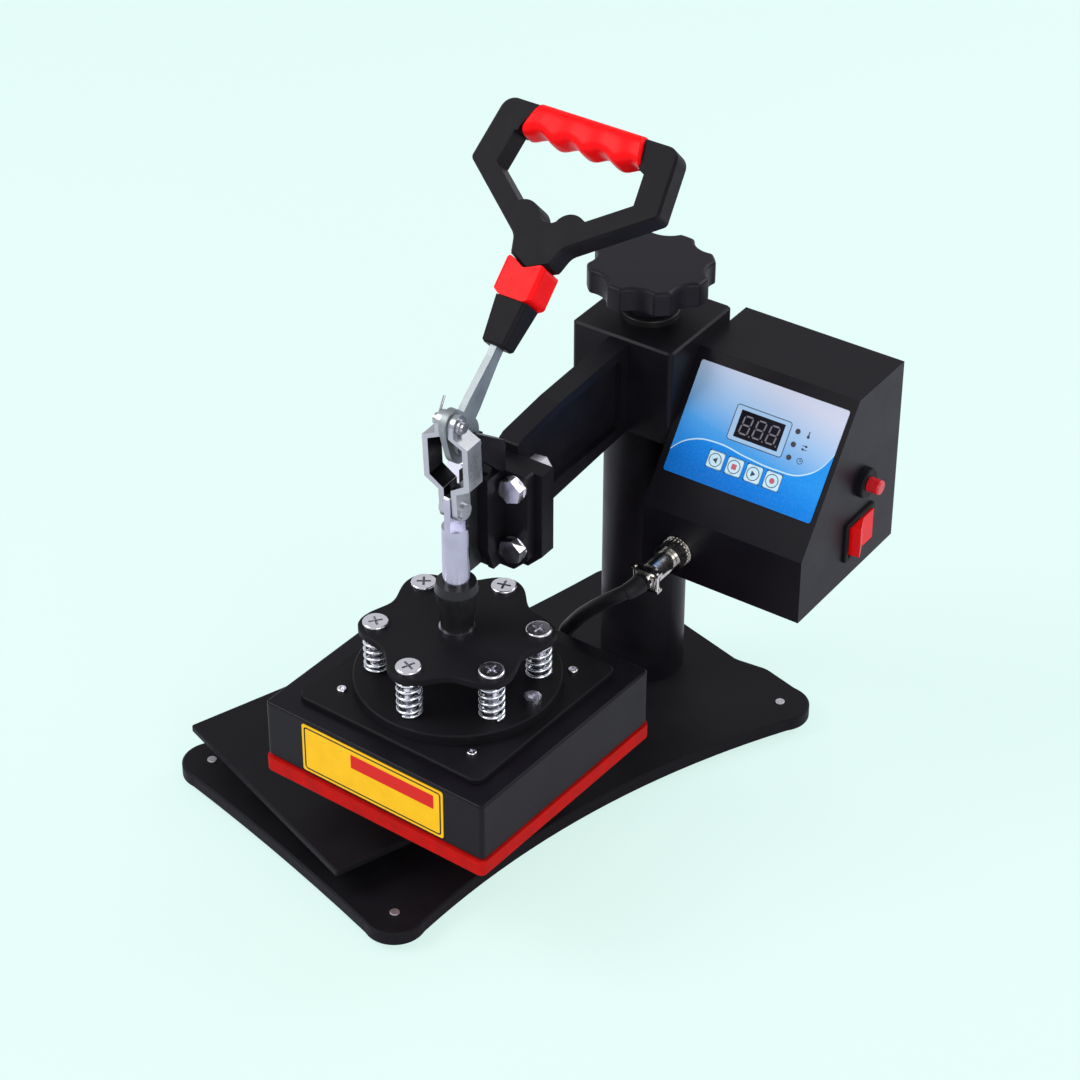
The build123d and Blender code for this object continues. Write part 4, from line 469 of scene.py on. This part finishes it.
# The three pictures, from the top: a thermometer, two sliders and a clock's hands and ring.
lamp_rows = [-(27.0 + 7.5 * n) for n in range(3)]
picture_x = 115.6
picture_bars = [
    box(-0.35, -0.6, 0.35, 1.9) + [picture_x, lamp_rows[0]],
    disc(picture_x, lamp_rows[0] - 1.1, 0.9),
    box(-1.7, 0.9, 1.7, 1.3) + [picture_x, lamp_rows[1]],
    box(-1.7, -1.1, 1.7, -0.7) + [picture_x, lamp_rows[1]],
    disc(picture_x + 0.7, lamp_rows[1] + 1.1, 0.65),
    disc(picture_x - 0.7, lamp_rows[1] - 0.9, 0.65),
    box(-0.2, 0, 0.2, 1.2) + [picture_x, lamp_rows[2]],
    box(0, -0.2, 0.95, 0.2) + [picture_x, lamp_rows[2]],
]
pictures = outward(plates("panel_pictures", picture_bars, 0.5, 0.54, PANEL_AXES, PANEL_TOP))
clock_ring = ring_plate("clock_ring", picture_x, lamp_rows[2], 1.8, 1.4, 0.5, 0.54)

# %% [markdown]
# ## Finishes
#
# A real finish is never one flat colour. Each one here starts from a principled shader and
# gets three fine things: a soft cloud that shifts colour and roughness a little, as handling
# and casting do, a grain that the light catches as tiny bumps, and for machined steel a
# streak along the tool's way. All patterns are read in object coordinates, so they stay put
# on the piece when the press moves.

# %% Finish maker
def calc(tree, operation, a, b=None, c=None, clamp=False):
    """A Math node. Each input is a number or another node's output."""
    node = tree.nodes.new("ShaderNodeMath")
    node.operation = operation
    node.use_clamp = clamp
    for socket, value in zip(node.inputs, (a, b, c)):
        if value is None:
            continue
        if isinstance(value, (int, float)):
            socket.default_value = value
        else:
            tree.links.new(value, socket)
    return node.outputs[0]


def noise(tree, vector, scale, detail=3.0, roughness=0.55):
    """A noise value of about the given number of features per metre."""
    node = tree.nodes.new("ShaderNodeTexNoise")
    node.inputs["Scale"].default_value = scale
    node.inputs["Detail"].default_value = detail
    node.inputs["Roughness"].default_value = roughness
    tree.links.new(vector, node.inputs["Vector"])
    return node.outputs["Fac"]


def between(tree, value, low, high):
    """Value from 0.3 to 0.7 carried to low and high, and held there beyond."""
    node = tree.nodes.new("ShaderNodeMapRange")
    node.inputs["From Min"].default_value = 0.3
    node.inputs["From Max"].default_value = 0.7
    node.inputs["To Min"].default_value = low
    node.inputs["To Max"].default_value = high
    tree.links.new(value, node.inputs["Value"])
    return node.outputs["Result"]


def mixed(tree, share, first, second):
    """Mix of two colours, each a tuple or another node's output."""
    node = tree.nodes.new("ShaderNodeMix")
    node.data_type = "RGBA"
    for number, value in ((0, share), (6, first), (7, second)):
        socket = node.inputs[number]
        if isinstance(value, tuple):
            socket.default_value = (*value, 1.0)
        elif isinstance(value, (int, float)):
            socket.default_value = value
        else:
            tree.links.new(value, socket)
    return node.outputs[2]


def finish(name, colour, roughness, metal=0.0, grain=0.0006, relief=0.00002, cloud=0.012, tone=0.12,
           spread=0.05, streak=None, coat=0.0, specular=0.5):
    """Principled material with a cloud and a grain, both sized in metres.

    Colour and roughness drift with the cloud by tone and spread, the grain lifts the surface by
    relief, and streak, three scales, stretches the grain along an axis.
    """
    material = bpy.data.materials.new(name)
    material.use_nodes = True
    tree = material.node_tree
    shader = tree.nodes["Principled BSDF"]
    place = tree.nodes.new("ShaderNodeTexCoord").outputs["Object"]
    drift = noise(tree, place, 1 / cloud, 4.0)
    dark = tuple(c * (1 - tone) for c in colour)
    light = tuple(min(1.0, c * (1 + tone)) for c in colour)
    tint = mixed(tree, between(tree, drift, 0.0, 1.0), dark, light)
    tree.links.new(tint, shader.inputs["Base Color"])
    gloss = between(tree, drift, roughness - spread, roughness + spread)
    tree.links.new(gloss, shader.inputs["Roughness"])
    shader.inputs["Metallic"].default_value = metal
    shader.inputs["Specular IOR Level"].default_value = specular
    shader.inputs["Coat Weight"].default_value = coat
    shader.inputs["Coat Roughness"].default_value = 0.12
    if streak:
        mapping = tree.nodes.new("ShaderNodeMapping")
        mapping.inputs["Scale"].default_value = streak
        tree.links.new(place, mapping.inputs["Vector"])
        place = mapping.outputs["Vector"]
    bump = tree.nodes.new("ShaderNodeBump")
    bump.inputs["Strength"].default_value = 1.0
    bump.inputs["Distance"].default_value = relief
    tree.links.new(noise(tree, place, 1 / grain, 3.0), bump.inputs["Height"])
    tree.links.new(bump.outputs["Normal"], shader.inputs["Normal"])
    return material


def component(tree, vector, axis):
    """Dot product of a vector and a fixed axis."""
    node = tree.nodes.new("ShaderNodeVectorMath")
    node.operation = "DOT_PRODUCT"
    tree.links.new(vector, node.inputs[0])
    node.inputs[1].default_value = tuple(map(float, axis))
    return node.outputs["Value"]


def darkened(source, name, share, dark):
    """Copy of a finish that turns dark where share is one. share gets the place and the normal."""
    material = source.copy()
    material.name = name
    tree = material.node_tree
    colour = tree.nodes["Principled BSDF"].inputs["Base Color"]
    coordinates = tree.nodes.new("ShaderNodeTexCoord")
    where = share(tree, coordinates.outputs["Object"], coordinates.outputs["Normal"])
    tree.links.new(mixed(tree, where, colour.links[0].from_socket, dark), colour)
    return material


def dress(material, *names):
    """The material on construction pieces, in every slot they have."""
    for name in names:
        mesh = nodes[name].data
        if not mesh.materials:
            mesh.materials.append(material)
        for slot in range(len(mesh.materials)):
            mesh.materials[slot] = material
        for slot in nodes[name].material_slots:
            slot.material = material


# %% [markdown]
# ## Black paint, powder coat and moulded black
#
# The castings have a thick satin enamel with a slight orange peel, the plates a drier powder
# coat, the control box a smoother baked enamel, and the handle a fine-grained plastic. They
# are all almost black, so only gloss and grain tell them apart.

# %% Black finishes
cast_enamel = finish(
    "cast_enamel", (0.0066, 0.0058, 0.0080), 0.40, grain=0.0021, relief=0.00004, cloud=0.02,
    tone=0.2, specular=0.12,
)
powder_coat = finish(
    "powder_coat", (0.0075, 0.0070, 0.0090), 0.48, grain=0.0008, relief=0.00004, cloud=0.03,
    tone=0.18, specular=0.09,
)
box_enamel = finish(
    "box_enamel", (0.0048, 0.0040, 0.0066), 0.38, grain=0.0012, relief=0.00002, cloud=0.035,
    tone=0.15, specular=0.14,
)
handle_black = finish(
    "handle_black", (0.0075, 0.0066, 0.0080), 0.46, grain=0.0005, relief=0.00003, cloud=0.01,
    tone=0.2, specular=0.08,
)
knob_black = finish(
    "knob_black", (0.0075, 0.0066, 0.0100), 0.42, grain=0.0006, relief=0.00002, cloud=0.02,
    tone=0.2, specular=0.16,
)
flex_black = finish(
    "flex_black", (0.0070, 0.0062, 0.0080), 0.46, grain=0.0009, relief=0.00004, cloud=0.01,
    tone=0.2, specular=0.16,
)
foot_rubber = finish(
    "foot_rubber", (0.009, 0.009, 0.010), 0.7, grain=0.0008, relief=0.00006, cloud=0.008, tone=0.2,
    specular=0.15,
)
blacked_steel = finish(
    "blacked_steel", (0.012, 0.012, 0.013), 0.34, grain=0.0007, relief=0.00002, cloud=0.008,
    tone=0.3, specular=0.3,
)
dress(cast_enamel, "swing_arm", "clamp_body", "column")
dress(powder_coat, "base_plate", "platen_post", "lower_platen")
dress(powder_coat, "star_plate", "disc_plate", "raised_plate")
dress(box_enamel, "box_shell", "box_side_cover", "heater_cover")
dress(handle_black, "handle_socket", "handle_frame", "mains_inlet", "breaker_nut", "rocker_bezel")
dress(knob_black, "star_knob")
dress(blacked_steel, "plunger_collar", "thrust_collar", "guide_tongue")
dress(foot_rubber, "rubber_feet")
dress(flex_black, "cord_elbow")

# %% [markdown]
# ## Bright metal
#
# The plunger is drawn and chromed, and its fine drawing lines run along it. The toggle's links
# are tumbled flat steel and the lever is sawn. Screws, springs and pins are zinc-bright. The
# links' inner faces get painted shade, a near black base colour, and the floors of the cross
# recesses of the six large screws get painted shadow. Both are found from where a face lies and
# where it looks, not from a picture.

# %% Bright finishes
ground_chrome = finish(
    "ground_chrome", (0.46, 0.46, 0.55), 0.2, metal=1.0, grain=0.0008, relief=0.000006,
    cloud=0.012, tone=0.1, spread=0.06, streak=(1.4, 1.4, 0.06),
)
tumbled_steel = finish(
    "tumbled_steel", (0.47, 0.48, 0.51), 0.3, metal=1.0, grain=0.0008, relief=0.000002,
    cloud=0.015, tone=0.08, spread=0.05,
)
sawn_steel = finish(
    "sawn_steel", (0.30, 0.33, 0.34), 0.52, metal=1.0, grain=0.0005, relief=0.000008, cloud=0.012,
    tone=0.12, spread=0.06,
)
bright_zinc = finish(
    "bright_zinc", (0.80, 0.78, 0.84), 0.2, metal=1.0, grain=0.0012, relief=0.000001, cloud=0.008,
    tone=0.06, spread=0.04,
)
dull_zinc = finish(
    "dull_zinc", (0.55, 0.54, 0.57), 0.5, metal=1.0, grain=0.0008, relief=0.000003, cloud=0.006,
    tone=0.1,
)
spring_wire = finish(
    "spring_wire", (0.86, 0.88, 0.92), 0.16, metal=1.0, grain=0.0004, relief=0.000003, cloud=0.002,
    tone=0.08, spread=0.05,
)
plug_chrome = finish(
    "plug_chrome", (0.62, 0.60, 0.57), 0.16, metal=1.0, grain=0.0006, relief=0.000004, cloud=0.003,
    tone=0.2, spread=0.06,
)
contact_brass = finish(
    "contact_brass", (0.66, 0.47, 0.2), 0.25, metal=1.0, grain=0.0005, relief=0.000004,
    cloud=0.002, tone=0.12,
)
cast_alloy = finish(
    "cast_alloy", (0.55, 0.55, 0.56), 0.42, metal=1.0, grain=0.0012, relief=0.00003, cloud=0.01,
    tone=0.1,
)
element_tube = finish(
    "element_tube", (0.33, 0.3, 0.28), 0.4, metal=0.9, grain=0.0007, relief=0.00001, cloud=0.004,
    tone=0.2,
)
board_fibre = finish(
    "board_fibre", (0.72, 0.68, 0.58), 0.85, grain=0.0006, relief=0.0001, cloud=0.006, tone=0.1,
)
dress(ground_chrome, "plunger_rod", "rod_fasteners")
dress(tumbled_steel, "link_pins", "lever_pin", "pivot_pin")
dress(sawn_steel, "lever_plate")
dress(bright_zinc, "heater_screws", "clamp_bolts", "box_screws", "pressure_screw", "column_plug")
dress(dull_zinc, "base_screws")
dress(spring_wire, "springs")
dress(plug_chrome, "plug_shell", "plug_ring", "chassis_socket")
dress(contact_brass, "inlet_pins")
dress(cast_alloy, "heating_block")
dress(element_tube, "heating_element")
dress(board_fibre, "insulation_board")


# %% Painted shade on the links, painted shadow in the screw recesses
SHADE_LIMIT = -1.5 * MM
RECESS_DEPTH = 0.8 * MM


def inner_face(tree, place, normal):
    """One where distance from the head's middle plane times the normal is under the limit."""
    middle = float(COLUMN @ HEAD_AXES[0])
    off_plane = calc(tree, "SUBTRACT", component(tree, place, HEAD_AXES[0]), middle)
    product = calc(tree, "MULTIPLY", off_plane, component(tree, normal, HEAD_AXES[0]))
    return calc(tree, "LESS_THAN", product, SHADE_LIMIT)


def recess_floor(tree, place, normal):
    """One on a face that looks up and lies deeper than the recess depth under the heads' tops."""
    head_top = max(v.co.z for v in nodes["spring_screws"].data.vertices)
    sunk = calc(tree, "LESS_THAN", component(tree, place, UP), head_top - RECESS_DEPTH)
    level = calc(tree, "GREATER_THAN", component(tree, normal, UP), 0.5)
    return calc(tree, "MULTIPLY", sunk, level)


# Painted shade: the links' inner faces get a near black base colour that stands in for their shade.
dress(darkened(tumbled_steel, "painted_shade_steel", inner_face, (0.03, 0.03, 0.034)), "toggle_links")
# Painted shadow: the floors of the screw recesses get a dark base colour.
dress(darkened(bright_zinc, "painted_recess_shadow_zinc", recess_floor, (0.15, 0.15, 0.17)), "spring_screws")

# %% [markdown]
# ## Red pieces
#
# Grip and sleeve are moulded red with a soft gloss, the pad is matt silicone sponge, and the
# rocker and the breaker's button are smooth signal red.

# %% Red finishes
grip_red = finish(
    "grip_red", (0.86, 0.004, 0.006), 0.36, grain=0.0011, relief=0.00002, cloud=0.01, tone=0.08,
    specular=0.1,
)
pad_red = finish(
    "pad_red", (0.44, 0.005, 0.003), 0.66, grain=0.0009, relief=0.00008, cloud=0.008, tone=0.16,
    spread=0.08, specular=0.08,
)
switch_red = finish(
    "switch_red", (0.72, 0.003, 0.004), 0.2, grain=0.001, relief=0.000005, cloud=0.006, tone=0.1,
    specular=0.12,
)
button_red = finish(
    "button_red", (0.58, 0.010, 0.016), 0.28, grain=0.0008, relief=0.00001, cloud=0.004, tone=0.15,
)
dress(grip_red, "handle_sleeve")
dress(pad_red, "silicone_pad")
dress(switch_red, "rocker")
dress(button_red, "breaker_button")

# %% [markdown]
# ## Printed film of the panel
#
# The film fades from pale lilac at its top to a strong blue at its foot, and a thin white
# curve runs across it. Under the curve the blue is deeper. A texture picture would be the
# usual way; here the fade is a ramp over the height on the film, and the curve's height is
# a curve over its width, so both can be changed by moving a point. The film's own frame is
# given to a Mapping node, which turns world places into places on the film.

# %% Print helpers
def film_place(tree, axes, origin):
    """X and Y in millimetres on a film that lies in the frame of these axes, and the place."""
    coordinates = tree.nodes.new("ShaderNodeTexCoord")
    mapping = tree.nodes.new("ShaderNodeMapping")
    mapping.vector_type = "TEXTURE"
    mapping.inputs["Location"].default_value = tuple(map(float, origin))
    turn = Matrix([list(map(float, a)) for a in axes]).transposed()
    mapping.inputs["Rotation"].default_value = turn.to_euler()
    mapping.inputs["Scale"].default_value = (MM, MM, MM)
    tree.links.new(coordinates.outputs["Object"], mapping.inputs["Vector"])
    split = tree.nodes.new("ShaderNodeSeparateXYZ")
    tree.links.new(mapping.outputs["Vector"], split.inputs["Vector"])
    return split.outputs["X"], split.outputs["Y"], coordinates.outputs["Object"]


def box_distance(tree, x, y, centre, half, corner):
    """Distance outside a rounded box: length of max(|p - c| - half + r, 0) less r."""
    ax = calc(tree, "ABSOLUTE", calc(tree, "SUBTRACT", x, centre[0]))
    ay = calc(tree, "ABSOLUTE", calc(tree, "SUBTRACT", y, centre[1]))
    dx = calc(tree, "MAXIMUM", calc(tree, "SUBTRACT", ax, half[0] - corner), 0.0)
    dy = calc(tree, "MAXIMUM", calc(tree, "SUBTRACT", ay, half[1] - corner), 0.0)
    squares = calc(tree, "ADD", calc(tree, "MULTIPLY", dx, dx), calc(tree, "MULTIPLY", dy, dy))
    return calc(tree, "SUBTRACT", calc(tree, "SQRT", squares), corner)


def inside(tree, distance, soft=0.12):
    """One where the distance is under zero, zero beyond it, with a soft edge."""
    return calc(tree, "SUBTRACT", 0.5, calc(tree, "DIVIDE", distance, soft), clamp=True)


def ramp(tree, value, stops):
    """Colour ramp with the given places and colours."""
    node = tree.nodes.new("ShaderNodeValToRGB")
    elements = node.color_ramp.elements
    while len(elements) < len(stops):
        elements.new(0.5)
    for element, (spot, colour) in zip(elements, stops):
        element.position = spot
        element.color = (*colour, 1.0)
    tree.links.new(value, node.inputs["Fac"])
    return node.outputs["Color"]


def printed(name, roughness, coat, specular):
    """A bare material for print, with its shader."""
    material = bpy.data.materials.new(name)
    material.use_nodes = True
    shader = material.node_tree.nodes["Principled BSDF"]
    shader.inputs["Roughness"].default_value = roughness
    shader.inputs["Coat Weight"].default_value = coat
    shader.inputs["Specular IOR Level"].default_value = specular
    return material, material.node_tree, shader


def fine_skin(tree, shader, place, grain, relief):
    """A shallow grain on a printed film."""
    bump = tree.nodes.new("ShaderNodeBump")
    bump.inputs["Distance"].default_value = relief
    tree.links.new(noise(tree, place, 1 / grain, 2.0), bump.inputs["Height"])
    tree.links.new(bump.outputs["Normal"], shader.inputs["Normal"])


# %% Film
FILM_LEFT, FILM_RIGHT = 39.0, 133.8
FILM_TOP, FILM_FOOT = 7.0, 72.2
WINDOW_HALF, WINDOW_CORNER = (17.7, 10.4), 1.8
# Points of the white curve: share of the film's width, share of its height from the top.
FILM_CURVE = (
    (0.0, 0.81), (0.12, 0.669), (0.274, 0.630), (0.486, 0.661), (0.672, 0.676), (0.849, 0.643),
    (1.0, 0.39),
)
film, tree, shader = printed("panel_film", 0.32, 0.0, 0.08)
x, y, place = film_place(tree, PANEL_AXES, PANEL_TOP)
across = calc(tree, "DIVIDE", calc(tree, "SUBTRACT", x, FILM_LEFT), FILM_RIGHT - FILM_LEFT)
below_top = calc(tree, "SUBTRACT", calc(tree, "MULTIPLY", y, -1.0), FILM_TOP)
fall = calc(tree, "DIVIDE", below_top, FILM_FOOT - FILM_TOP)
wave = tree.nodes.new("ShaderNodeFloatCurve")
points = wave.mapping.curves[0].points
for width_share, height_share in FILM_CURVE[1:-1]:
    points.new(width_share, 1 - height_share)
for end in (0, -1):
    width_share, height_share = FILM_CURVE[end]
    points[end].location = (width_share, 1 - height_share)
wave.mapping.update()
tree.links.new(across, wave.inputs["Value"])
curve_fall = calc(tree, "SUBTRACT", 1.0, wave.outputs["Value"])
slanted = calc(tree, "ADD", fall, calc(tree, "MULTIPLY", calc(tree, "SUBTRACT", across, 0.5), -0.3))
above = ramp(tree, slanted, [
    (0.0, (0.60, 0.64, 0.78)), (0.3, (0.34, 0.54, 0.80)), (0.62, (0.06, 0.34, 0.79)),
    (0.8, (0.02, 0.27, 0.77)),
])
below = ramp(tree, slanted, [
    (0.6, (0.01, 0.28, 0.80)), (0.8, (0.0, 0.21, 0.72)), (1.0, (0.0, 0.165, 0.62)),
])
below_share = inside(tree, calc(tree, "SUBTRACT", curve_fall, fall), 0.004)
from_curve = calc(tree, "ABSOLUTE", calc(tree, "SUBTRACT", fall, curve_fall))
line_share = inside(tree, calc(tree, "SUBTRACT", from_curve, 0.006), 0.004)
colour = mixed(tree, below_share, above, below)
colour = mixed(tree, line_share, colour, (0.55, 0.80, 0.93))
rim = box_distance(tree, x, y, WINDOW, WINDOW_HALF, WINDOW_CORNER)
RIM_TINTS = ((0.0, (0.03, 0.05, 0.10)), (0.5, (0.36, 0.55, 0.78)), (1.9, (0.02, 0.03, 0.06)))
for depth, tint in RIM_TINTS:
    colour = mixed(tree, inside(tree, calc(tree, "ADD", rim, depth)), colour, tint)
speckle = noise(tree, place, 900.0, 2.0)
speckle_share = calc(tree, "MULTIPLY", calc(tree, "SUBTRACT", speckle, 0.4, clamp=True), 0.08)
colour = mixed(tree, speckle_share, colour, (0.8, 0.9, 1.0))
tree.links.new(colour, shader.inputs["Base Color"])
fine_skin(tree, shader, place, 0.0006, 0.00001)
dress(film, "panel_membrane")

smoked = finish(
    "smoked_window", (0.006, 0.005, 0.010), 0.16, grain=0.0008, relief=0.000002, cloud=0.02,
    tone=0.2, specular=0.12,
)
dress(smoked, "display_window")
lens_dark = finish(
    "lamp_lens", (0.006, 0.008, 0.02), 0.25, grain=0.0005, relief=0.000004, cloud=0.004, tone=0.2,
    coat=0.3,
)
dress(lens_dark, "indicator_lamps")
key_film = finish(
    "key_film", (0.55, 0.78, 0.88), 0.35, grain=0.0006, relief=0.00001, cloud=0.004, tone=0.08,
)
dress(key_film, "key_1", "key_2", "key_3", "key_4")
bar_grey = finish(
    "bar_grey", (0.16, 0.155, 0.19), 0.4, grain=0.0005, relief=0.000002, cloud=0.003, tone=0.1,
)
print_dark = finish(
    "print_dark", (0.012, 0.03, 0.07), 0.45, grain=0.0005, relief=0.000002, cloud=0.003, tone=0.1,
)
print_red = finish(
    "print_red", (0.5, 0.08, 0.14), 0.45, grain=0.0005, relief=0.000002, cloud=0.003, tone=0.1,
)

# %% [markdown]
# ## Yellow plate
#
# The plate on the front of the heater is a yellow film with a black border line and a plain
# red band. Distance from a rounded box draws both: the line where it is near zero, the band
# where it is below zero.

# %% Plate print
PLATE_AXES = np.array([HEATER_AXES[0], UP, np.cross(HEATER_AXES[0], UP)])
PLATE_FRONT, PLATE_HEIGHT = -74.5, (110.7 + 75.2) / 2 - 0.6
BORDER_HALF, BORDER_CORNER, BORDER_LINE = (46.9, 13.9), 1.6, 0.5
BAND_MIDDLE, BAND_HALF, BAND_CORNER = (14.0, 6.2), (28.5, 4.6), 0.6
plate, tree, shader = printed("plate_film", 0.36, 0.03, 0.12)
plate_middle = placed(np.array([0.0, PLATE_FRONT, PLATE_HEIGHT]) * MM, HEATER_AXES, HEATER_FOOT)
x, y, place = film_place(tree, PLATE_AXES, plate_middle)
edge = box_distance(tree, x, y, (0.0, 0.0), BORDER_HALF, BORDER_CORNER)
age = between(tree, noise(tree, place, 120.0, 4.0), 0.0, 1.0)
colour = mixed(tree, age, (0.86, 0.47, 0.002), (0.93, 0.53, 0.004))
border = inside(tree, calc(tree, "SUBTRACT", calc(tree, "ABSOLUTE", edge), BORDER_LINE), 0.1)
colour = mixed(tree, border, colour, (0.012, 0.01, 0.01))
band = inside(tree, box_distance(tree, x, y, BAND_MIDDLE, BAND_HALF, BAND_CORNER), 0.1)
colour = mixed(tree, band, colour, (0.62, 0.012, 0.006))
tree.links.new(colour, shader.inputs["Base Color"])
fine_skin(tree, shader, place, 0.0007, 0.00001)
dress(plate, "front_plate")

# %% [markdown]
# ## Tie the new pieces to the press
#
# Each new piece but the cord rides on the body that carries it, and wears its material. The
# cord, the springs and the grip take the places of the solids that they are finer versions of,
# and the others are added.

# %% Ride and replace
def wear(piece, material):
    """The material on a new piece."""
    piece.data.materials.append(material)
    return piece


wear(cord, flex_black)
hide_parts("heater_cord")
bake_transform(cord)
wear(boot, flex_black)
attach(boot, "arm")
for coil in coils:
    wear(coil, spring_wire)
    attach(coil, "plunger")
    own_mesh(coil)
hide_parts("springs")
wear(grip, grip_red)
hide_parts("handle_grip")
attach(grip, "lever")
wear(digits, bar_grey)
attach(digits, "arm")
for piece in (pictures, clock_ring):
    wear(piece, print_dark)
    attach(piece, "arm")
for n in range(4):
    wear(key_rings[n], print_dark)
    wear(key_marks[n], print_red if n % 2 else print_dark)
    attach(key_rings[n], f"key_{n + 1}")
    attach(key_marks[n], f"key_{n + 1}")
triangles = sum(len(p.data.loop_triangles) or len(p.data.polygons) * 2 for p in new_pieces)
print("new pieces", len(new_pieces), "triangles", triangles)

# %% [markdown]
# ## Floor and light
#
# A pale floor and an even pale surround, as on a catalogue page. One large soft lamp stands
# high at the left front, a weaker one at the right, and a long one behind draws the edges of
# the black pieces. The camera sees a pale green surround, and metal a greyer one.

# %% Floor
FLOOR_HALF, FLOOR_HEIGHT = 9.0, -0.0002
floor_mesh = bpy.data.meshes.new("floor")
signs = ((-1, -1), (1, -1), (1, 1), (-1, 1))
corners = [(FLOOR_HALF * x, FLOOR_HALF * y, FLOOR_HEIGHT) for x, y in signs]
floor_mesh.from_pydata(corners, [], [(0, 1, 2, 3)])
floor = bpy.data.objects.new("floor", floor_mesh)
bpy.context.scene.collection.objects.link(floor)
floor_paint = finish(
    "floor_paint", (0.76, 0.80, 0.86), 0.6, grain=0.004, relief=0.00001, cloud=0.6, tone=0.01,
    specular=0.2,
)
floor_mesh.materials.append(floor_paint)
tree = floor_paint.node_tree
page = tree.nodes.new("ShaderNodeEmission")
page.inputs["Color"].default_value = (0.772, 1.0, 0.936, 1.0)
seen = calc(tree, "MULTIPLY", tree.nodes.new("ShaderNodeLightPath").outputs["Is Camera Ray"], 0.82)
blend = tree.nodes.new("ShaderNodeMixShader")
tree.links.new(seen, blend.inputs[0])
tree.links.new(tree.nodes["Principled BSDF"].outputs[0], blend.inputs[1])
tree.links.new(page.outputs[0], blend.inputs[2])
tree.links.new(blend.outputs[0], tree.nodes["Material Output"].inputs["Surface"])


# %% Lamps and surround
def lamp(name, spot, aim, size, power, colour=(1.0, 1.0, 1.0)):
    """A square area lamp at spot that looks at aim."""
    data = bpy.data.lights.new(name, "AREA")
    data.size = size
    data.energy = power
    data.color = colour
    light = bpy.data.objects.new(name, data)
    light.location = spot
    light.rotation_euler = (Vector(aim) - Vector(spot)).to_track_quat("-Z", "Y").to_euler()
    bpy.context.scene.collection.objects.link(light)


lamp("key", (-0.9, -1.3, 1.7), (0, 0, 0.15), 1.1, 26.0)
lamp("fill", (1.7, -0.6, 1.0), (0, 0, 0.2), 1.0, 12.0)
lamp("back", (0.3, 1.6, 1.4), (0, 0, 0.2), 1.2, 16.0)
world = bpy.data.worlds.new("surround")
bpy.context.scene.world = world
world.use_nodes = True
tree = world.node_tree
background = tree.nodes["Background"]
rays = tree.nodes.new("ShaderNodeLightPath")
shine = calc(tree, "MAXIMUM", rays.outputs["Is Glossy Ray"], rays.outputs["Is Transmission Ray"])
around = mixed(tree, shine, (0.62, 0.62, 0.64), (0.62, 0.64, 0.66))
seen_colour = mixed(tree, rays.outputs["Is Camera Ray"], around, (0.78, 0.985, 0.94))
tree.links.new(seen_colour, background.inputs["Color"])
bpy.context.scene.view_settings.view_transform = "Standard"
